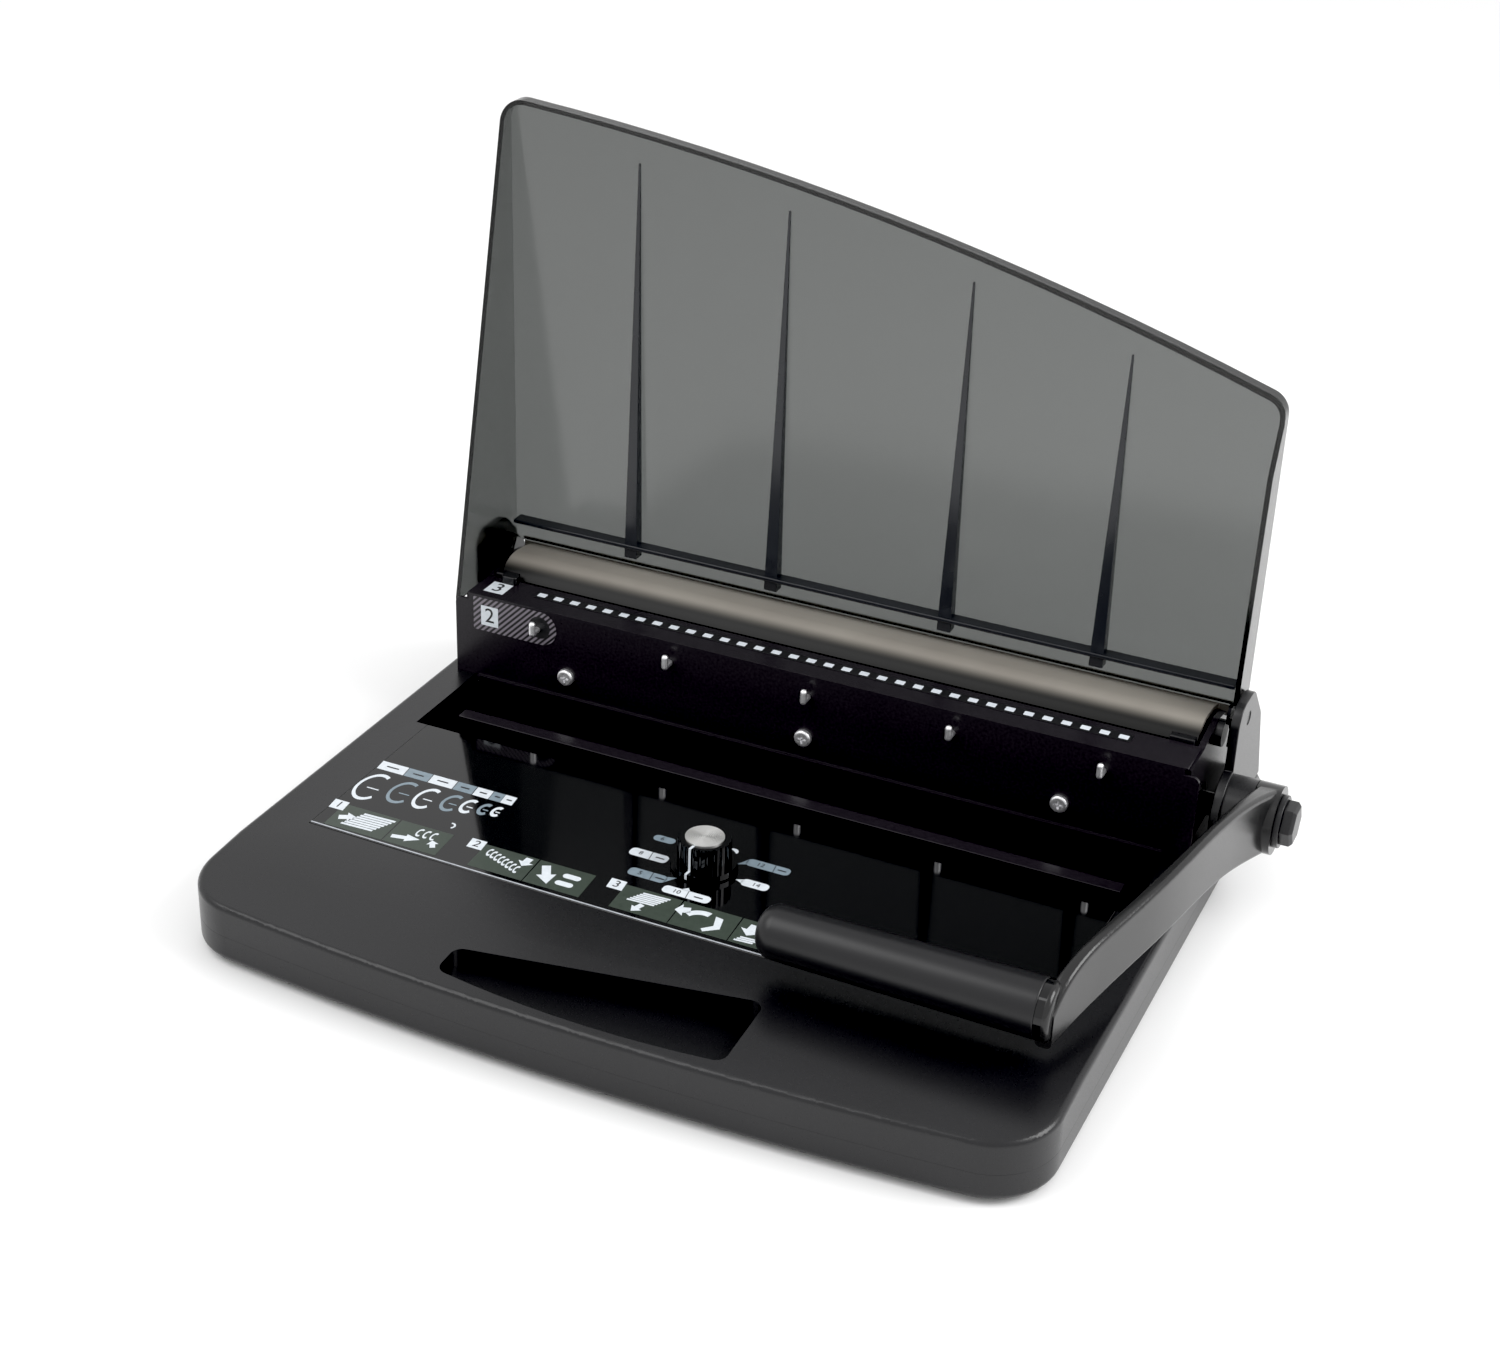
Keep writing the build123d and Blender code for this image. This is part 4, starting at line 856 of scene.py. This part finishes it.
bars = bmesh.new()
for left, right, *_ in chart:
    middle, width = (left + right) / 2, right - left
    low, high = (middle - width * WORD_LEFT, WORD_LOW), (middle + width * WORD_RIGHT, WORD_HIGH)
    lozenge(bars, low, high, round_by=0.3, lift=INK)
print_piece("chart_bars", bars, "base", "ink_black")

# %% [markdown]
# ## Step tiles
#
# Along the panel's front lie three groups of moss green tiles, and each group starts with a
# white box that has its number. The numbers could be drawn as prints, but the built-in typeface
# has plain figures. A text object becomes a mesh first and is put in its place after that, so
# that the finished piece stays at the origin like all the others.

# %% Step tiles
TILE_LOW, TILE_HIGH, TILE_OUT, TILE_IN = 65.4, 82.8, 0.3, 0.7
NUMBER_LOW, NUMBER_HIGH, NUMBER_WIDE = 77.6, 84.4, 7.0
FIGURE_RIGHT, FIGURE_MIDDLE, FIGURE_TALL, FIGURE_BODY, FIGURE_LIFT = 3.9, 81.0, 4.6, 1.4, 0.03
groups = (
    # the number, the left of its box, and where the tiles begin and end
    ("1", -162.6, (-157.0, -128.4, -102.4)),
    ("2", -95.0, (-87.6, -61.6, -35.2)),
    ("3", -29.4, (-22.0, 4.4, 30.8, 47.0)),
)


def figures(bm, text, centre, height, lift, on=on_panel, tilt_deg=0.0):
    """Plain figures as a thin print: text turned to a mesh, tilted up if need be, set in place."""
    curve = bpy.data.curves.new("figures", "FONT")
    curve.body = text
    curve.size = height * MM * FIGURE_BODY
    curve.align_x, curve.align_y = "CENTER", "CENTER"
    curve.extrude = INK * MM / 2
    holder = bpy.data.objects.new("figures", curve)
    bpy.context.scene.collection.objects.link(holder)
    bpy.context.view_layer.update()
    depsgraph = bpy.context.evaluated_depsgraph_get()
    mesh = bpy.data.meshes.new_from_object(holder.evaluated_get(depsgraph))
    tilted = Matrix.Rotation(radians(tilt_deg), 4, "X")
    mesh.transform(Matrix.Translation(on(*centre, lift)) @ tilted)
    bm.from_mesh(mesh)
    bpy.data.objects.remove(holder)


tiles, boxes, digits = bmesh.new(), bmesh.new(), bmesh.new()
for digit, left, stops in groups:
    foot = left + BOX_LEAN
    leaning(boxes, foot, foot + NUMBER_WIDE, NUMBER_LOW, NUMBER_HIGH, BOX_LEAN, thick=2 * INK)
    centre = (left + FIGURE_RIGHT, FIGURE_MIDDLE)
    figures(digits, digit, centre, FIGURE_TALL, 2 * INK + FIGURE_LIFT)
    for low, high in zip(stops, stops[1:]):
        front = [(low + BOX_LEAN, TILE_LOW), (high + TILE_OUT, TILE_LOW)]
        patch(tiles, front + [(high - TILE_IN, TILE_HIGH), (low, TILE_HIGH)])
print_piece("step_tiles", tiles, "base", "ink_green")
print_piece("step_number_boxes", boxes, "base", "ink_white")
print_piece("step_numbers", digits, "base", "ink_black")

# %% [markdown]
# ## Signs on the tiles
#
# Each tile shows one step of the work. The signs are plain ones of this lesson's own: a fanned
# stack of paper, a wire comb, an arrow, and a bent lever. They could be flat pictures, but a
# picture needs pixels, and these stay sharp from close by. Three helpers draw the stack, the
# comb and the arrow, and the list below puts them on the tiles from left to right.

# %% Helpers for the signs
ARROW = ((0, -0.25), (0.5, -0.25), (0.5, -0.55), (1, 0), (0.5, 0.55), (0.5, 0.25), (0, 0.25))
FAN_STEP, FAN_RISE, FAN_FULL = 0.8, 0.6, 0.75
COMB_LINE, COMB_OPEN_FROM, COMB_TURN = 0.6, 60.0, 250.0


def arrow(bm, x, y, length, width, heading):
    """A broad arrow from its tail at a place, heading in degrees from the panel's right."""
    c, s = cos(radians(heading)), sin(radians(heading))
    shape = [(u * length, v * width) for u, v in ARROW]
    patch(bm, [(x + u * c - v * s, y + u * s + v * c) for u, v in shape], INK)


def sheets(bm, x, y, width, height, count):
    """A fanned stack of paper: bars that step sideways, with a dark gap between them."""
    thick = height / count * FAN_FULL
    for i in range(count):
        left, low = x + i * FAN_STEP, y + i * height / count
        right, rise = left + width, low + FAN_RISE
        patch(bm, [(left, low), (right, rise), (right, rise + thick), (left, low + thick)], INK)


def comb(bm, x, y, count, pitch, drop, size):
    """A wire comb: open rings in a row that may slope down to the right."""
    for i in range(count):
        centre = (x + i * pitch, y - i * drop)
        open_ring(bm, centre, size, COMB_LINE, COMB_OPEN_FROM, COMB_TURN, INK)


# %% Signs on the tiles
signs = bmesh.new()
# group 1: a stack, a short comb and three arrows
sheets(signs, -150.0, 68.5, 15.0, 12.0, 7)
arrow(signs, -153.5, 72.5, 7.5, 6.5, 25.0)
comb(signs, -116.5, 77.6, 3, 3.4, 0.0, (3.0, 6.2))
arrow(signs, -126.0, 70.2, 12.5, 5.0, 12.0)
arrow(signs, -106.0, 70.0, 5.5, 4.6, 120.0)
# group 2: a long comb, two arrows and two slots
comb(signs, -83.0, 78.0, 8, 2.3, 0.9, (2.6, 5.6))
arrow(signs, -66.0, 81.5, 6.5, 6.5, -95.0)
arrow(signs, -57.5, 80.0, 13.5, 7.5, -62.0)
lozenge(signs, (-48.0, 75.4), (-40.0, 78.6), 1.5, INK)
lozenge(signs, (-48.6, 69.6), (-40.6, 72.8), 1.5, INK)
# group 3: two stacks, a bent lever and three arrows
sheets(signs, -17.0, 73.0, 12.0, 8.0, 6)
arrow(signs, -9.5, 72.6, 6.5, 5.0, -110.0)
open_ring(signs, (16.0, 71.0), (18.0, 18.0), 3.0, 75.0, 75.0, INK)
arrow(signs, 9.6, 77.8, 6.5, 7.5, 200.0)
lever_sign = ((20.5, 78.5), (24.0, 78.0), (25.6, 71.0), (20.0, 66.6), (18.6, 68.2), (22.4, 72.0))
patch(signs, lever_sign, INK)
arrow(signs, 37.5, 80.0, 8.0, 8.5, -95.0)
sheets(signs, 33.4, 67.0, 8.0, 4.0, 3)
print_piece("step_signs", signs, "base", "ink_white")

# %% [markdown]
# ## Scale round the dial
#
# Seven rounded fields stand round the dial. Six carry the figure of a wire size, some with a
# slanting stroke and a short bar, and some have a small tail that points at the dial. They could
# be copied round in a circle, but the real ones stay level while they go round, so a table gives
# each its place.

# %% Fields of the scale
pale, dull = bmesh.new(), bmesh.new()
FIELD_ROUND = 2.1
fields = (
    (dull, (-28.6, 118.6), (-18.8, 123.0)),
    (pale, (-32.6, 103.9), (-15.2, 109.6)),
    (dull, (-26.2, 90.2), (-9.2, 95.8)),
    (pale, (-7.8, 84.9), (13.4, 90.2)),
    (pale, (18.6, 104.2), (30.6, 109.4)),
    (dull, (14.2, 118.8), (33.6, 124.2)),
    (pale, (3.6, 123.6), (8.0, 128.0)),
)
for ink, low, high in fields:
    almost_half = (high[1] - low[1]) / 2.05
    lozenge(ink, low, high, min(FIELD_ROUND, almost_half))
patch(pale, [(-0.6, 90.0), (3.4, 90.0), (1.6, 92.2)])
patch(pale, [(18.9, 105.4), (18.9, 108.4), (15.8, 106.9)])
patch(dull, [(-9.6, 91.0), (-9.6, 95.6), (-6.0, 96.6)])
patch(dull, [(14.6, 119.2), (14.6, 123.6), (11.4, 117.6)])

# %% Figures, strokes and bars of the scale
STROKE_WIDE, STROKE_LEAN, OVER_INK, SIZE_TALL = 0.35, 0.75, 0.01, 2.6
DASH_LEFT, DASH_RIGHT, DASH_HALF = 2.2, 1.8, 0.4
sizes_ink = bmesh.new()
wire_sizes = (
    ("6", -24.6, 120.8),
    ("8", -27.6, 106.8),
    ("5", -21.0, 93.0),
    ("10", -1.6, 87.5),
    ("14", 25.0, 106.8),
    ("12", 20.4, 121.5),
)
strokes = ((-22.8, 103.9, 109.6), (-15.6, 90.2, 95.8), (3.4, 84.9, 90.2), (26.8, 118.8, 124.2))
for text, x, y in wire_sizes:
    figures(sizes_ink, text, (x, y), SIZE_TALL, INK + FIGURE_LIFT)
for x, low, high in strokes:
    leaning(sizes_ink, x, x + STROKE_WIDE, low, high, STROKE_LEAN, INK, OVER_INK)
for x, y in ((-18.6, 106.8), (-11.8, 93.0), (8.4, 87.5), (30.2, 121.5)):
    low, high = (x - DASH_LEFT, y - DASH_HALF), (x + DASH_RIGHT, y + DASH_HALF)
    lozenge(sizes_ink, low, high, 0.3, INK, OVER_INK)
print_piece("dial_scale_white", pale, "base", "ink_white")
print_piece("dial_scale_slate", dull, "base", "ink_blue")
print_piece("dial_scale_figures", sizes_ink, "base", "ink_black")

# %% [markdown]
# ## Label and figures beside the hooks
#
# A hatched label on the plate's left carries the figure 2 and frames the leftmost wire hook with
# a black disc, and the figure 3 stands on the deck behind it: they tell which way the work goes.
# The label's right end is half round. A lozenge would round its left end too, so its outline is
# two corners and a half circle of points.

# %% Label
PLATE_Y, DECK_Z = 210.3, 71.5
LABEL_LEFT, LABEL_ROUND_X, LABEL_MID_Z, LABEL_HALF, LABEL_STEPS = -168.0, -132.85, 62.35, 8.35, 24


def on_plate(u, v, lift):
    """A place on the plate's front: to the right, up, and forwards off it."""
    return at(u, PLATE_Y - lift, v)


def on_deck(u, v, lift):
    """A place on the deck: to the right, to the back, and up off it."""
    return at(u, v, DECK_Z + lift)


label = bmesh.new()
bend = [radians(-90 + 180 * i / LABEL_STEPS) for i in range(LABEL_STEPS + 1)]
outline = [(LABEL_LEFT, LABEL_MID_Z - LABEL_HALF)]
outline += [(LABEL_ROUND_X + LABEL_HALF * cos(a), LABEL_MID_Z + LABEL_HALF * sin(a)) for a in bend]
outline += [(LABEL_LEFT, LABEL_MID_Z + LABEL_HALF)]
patch(label, outline, on=on_plate)
print_piece("plate_label", label, "base", "label_hatched")

# %% Figures beside the hooks
DISC_X, DISC_Z, DISC_RADIUS, DISC_STEPS = -133.3, 62.6, 5.5, 40
white, dark = bmesh.new(), bmesh.new()
leaning(white, -164.0, -155.0, 57.0, 67.0, lift=INK, on=on_plate)
figures(dark, "2", (-159.5, 62.0), 7.4, 2 * INK + FIGURE_LIFT, on=on_plate, tilt_deg=90)
leaning(white, -166.0, -156.0, 216.0, 226.6, on=on_deck)
figures(dark, "3", (-161.0, 221.3), 7.8, INK + FIGURE_LIFT, on=on_deck)
round_the_hook = [2 * pi * i / DISC_STEPS for i in range(DISC_STEPS)]
disc = [(DISC_X + DISC_RADIUS * cos(a), DISC_Z + DISC_RADIUS * sin(a)) for a in round_the_hook]
patch(dark, disc, INK, on=on_plate)
print_piece("work_order_boxes", white, "base", "ink_white")
print_piece("work_order_figures", dark, "base", "ink_black")

# %% [markdown]
# ## One white mark for each hole
#
# The strip behind the plate is black with one white mark for each hole, so that the user can
# count holes along the paper's edge. A wave texture could paint the marks, but their corners are
# rounded and their edges crisp, so they are prints like the others, three to the inch, as the
# pins are.

# %% Hole marks
HOLE_PITCH, HOLE_COUNT, HOLE_MIDDLE = 25.4 / 3, 34, 0.6
MARK_HALF, MARK_FRONT, MARK_BACK = 2.1, 222.2, 225.6
strip_top = (Vector(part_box("ruler_strip")[1]) / MM - DRAWING_ORIGIN).z - DECK_Z
strip = merged_copy("ruler_strip")
round_edges(strip, radius=0.05)
piece = finish_piece("ruler_strip_dressed", strip, "base", "ink_black")
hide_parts("ruler_strip")

marks = bmesh.new()
for i in range(HOLE_COUNT):
    x = HOLE_MIDDLE + (i - (HOLE_COUNT - 1) / 2) * HOLE_PITCH
    low, high = (x - MARK_HALF, MARK_FRONT), (x + MARK_HALF, MARK_BACK)
    lozenge(marks, low, high, round_by=0.35, lift=strip_top, on=on_deck)
print_piece("hole_marks", marks, "base", "ruler_white")

# %% [markdown]
# ## Pointer of the dial
#
# The dial has a white pointer, one narrow strip that starts on its shoulder and runs down its
# side and skirt. Three boxes could stand for it, but a line of paint bends over the edges
# without a gap. So it is one outline, the dial's own profile and the same profile a hair further
# out, drawn out to the strip's width and turned to where it points.

# %% Pointer
POINTER_WIDE, POINTER_PROUD, POINTER_TURN = 1.1, 0.08, 262.5
profile = ((8.4, 44.2), (11.3, 44.2), (11.3, 33.4), (14.0, 33.4), (14.0, 31.0))
proud = ((0, 1), (1, 1), (1, 1), (1, 1), (1, 0))
pointer = bmesh.new()
side_y = DIAL_Y - POINTER_WIDE / 2
section = [at(out, side_y, z) for out, z in profile]
section += [
    at(out + POINTER_PROUD * a, side_y, z + POINTER_PROUD * b)
    for (out, z), (a, b) in reversed(tuple(zip(profile, proud)))
]
face = pointer.faces.new([pointer.verts.new(place) for place in section])
drawn_out(pointer, face, (0, POINTER_WIDE * MM, 0))
about = Matrix.Rotation(radians(POINTER_TURN), 3, "Z")
bmesh.ops.rotate(pointer, cent=at(0, DIAL_Y, 0), matrix=about, verts=pointer.verts)
print_piece("dial_pointer", pointer, "dial", "ink_white")

# %% [markdown]
# ## The floor
#
# The machine stands on a wide sheet of matt white board. A flat white plane would do, but a
# faint fibre in the board keeps the soft shadow under the machine from looking like a gradient.

# %% Floor
FLOOR_SIZE, FIBRE_MM = 6.0, 3.0
bm = bmesh.new()
bmesh.ops.create_grid(bm, x_segments=1, y_segments=1, size=FLOOR_SIZE)
mesh = bpy.data.meshes.new("floor")
bm.to_mesh(mesh)
bm.free()
floor = bpy.data.objects.new("floor", mesh)
bpy.context.scene.collection.objects.link(floor)

material, tree, shader, place = start(
    "matt_white_sweep", {"Roughness": 0.9, "Base Color": srgb("#f4f4f4")}
)
fibre = add(
    tree, "ShaderNodeTexNoise", {"Vector": place, "Scale": per_metre(FIBRE_MM), "Detail": 2.0}
)
bump = add(tree, "ShaderNodeBump", {"Height": fibre, "Strength": 0.05, "Distance": 0.1 * MM})
feed(tree, shader, {"Normal": bump})
floor.data.materials.append(material)
print("floor", round(floor.dimensions.x, 1), "m wide")

# %% [markdown]
# ## The room and its lights
#
# The room is bright: floor and background are both nearly white, so the polished black pieces
# have something to mirror. Lamps alone would leave them black. One large soft light hangs above
# the front left, a smaller one lights the right side, and the room itself gives the rest. The
# darkest tones are pulled down a little, as a printed catalogue picture shows them.

# %% Room
BLACK_LEVEL = 0.009
world = bpy.data.worlds.new("bright_room")
world.use_nodes = True
room = world.node_tree.nodes["Background"]
feed(world.node_tree, room, {"Color": srgb("#ffffff"), "Strength": 1.0})
bpy.context.scene.world = world
view = bpy.context.scene.view_settings
view.view_transform = "Standard"
view.use_curve_mapping = True
view.curve_mapping.black_level = (BLACK_LEVEL,) * 3
view.curve_mapping.update()
print("black level", BLACK_LEVEL)

# %% Soft lights
softboxes = (
    # the name, its place and its aim in metres, its size in metres and its power in watts
    ("key_softbox", (-0.9, -0.7, 1.6), (0, 0, 0.05), 1.2, 10.0),
    ("side_softbox", (1.1, 0.15, 0.9), (0.35, 0.1, 0), 0.8, 12.0),
)
for name, stand, aim, size, power in softboxes:
    light_data = bpy.data.lights.new(name, "AREA")
    light_data.size = size
    light_data.energy = power
    light = bpy.data.objects.new(name, light_data)
    turned = (Vector(aim) - Vector(stand)).to_track_quat("-Z", "Y").to_matrix().to_4x4()
    light.matrix_world = Matrix.Translation(stand) @ turned
    bpy.context.scene.collection.objects.link(light)
    print(name, power, "W")
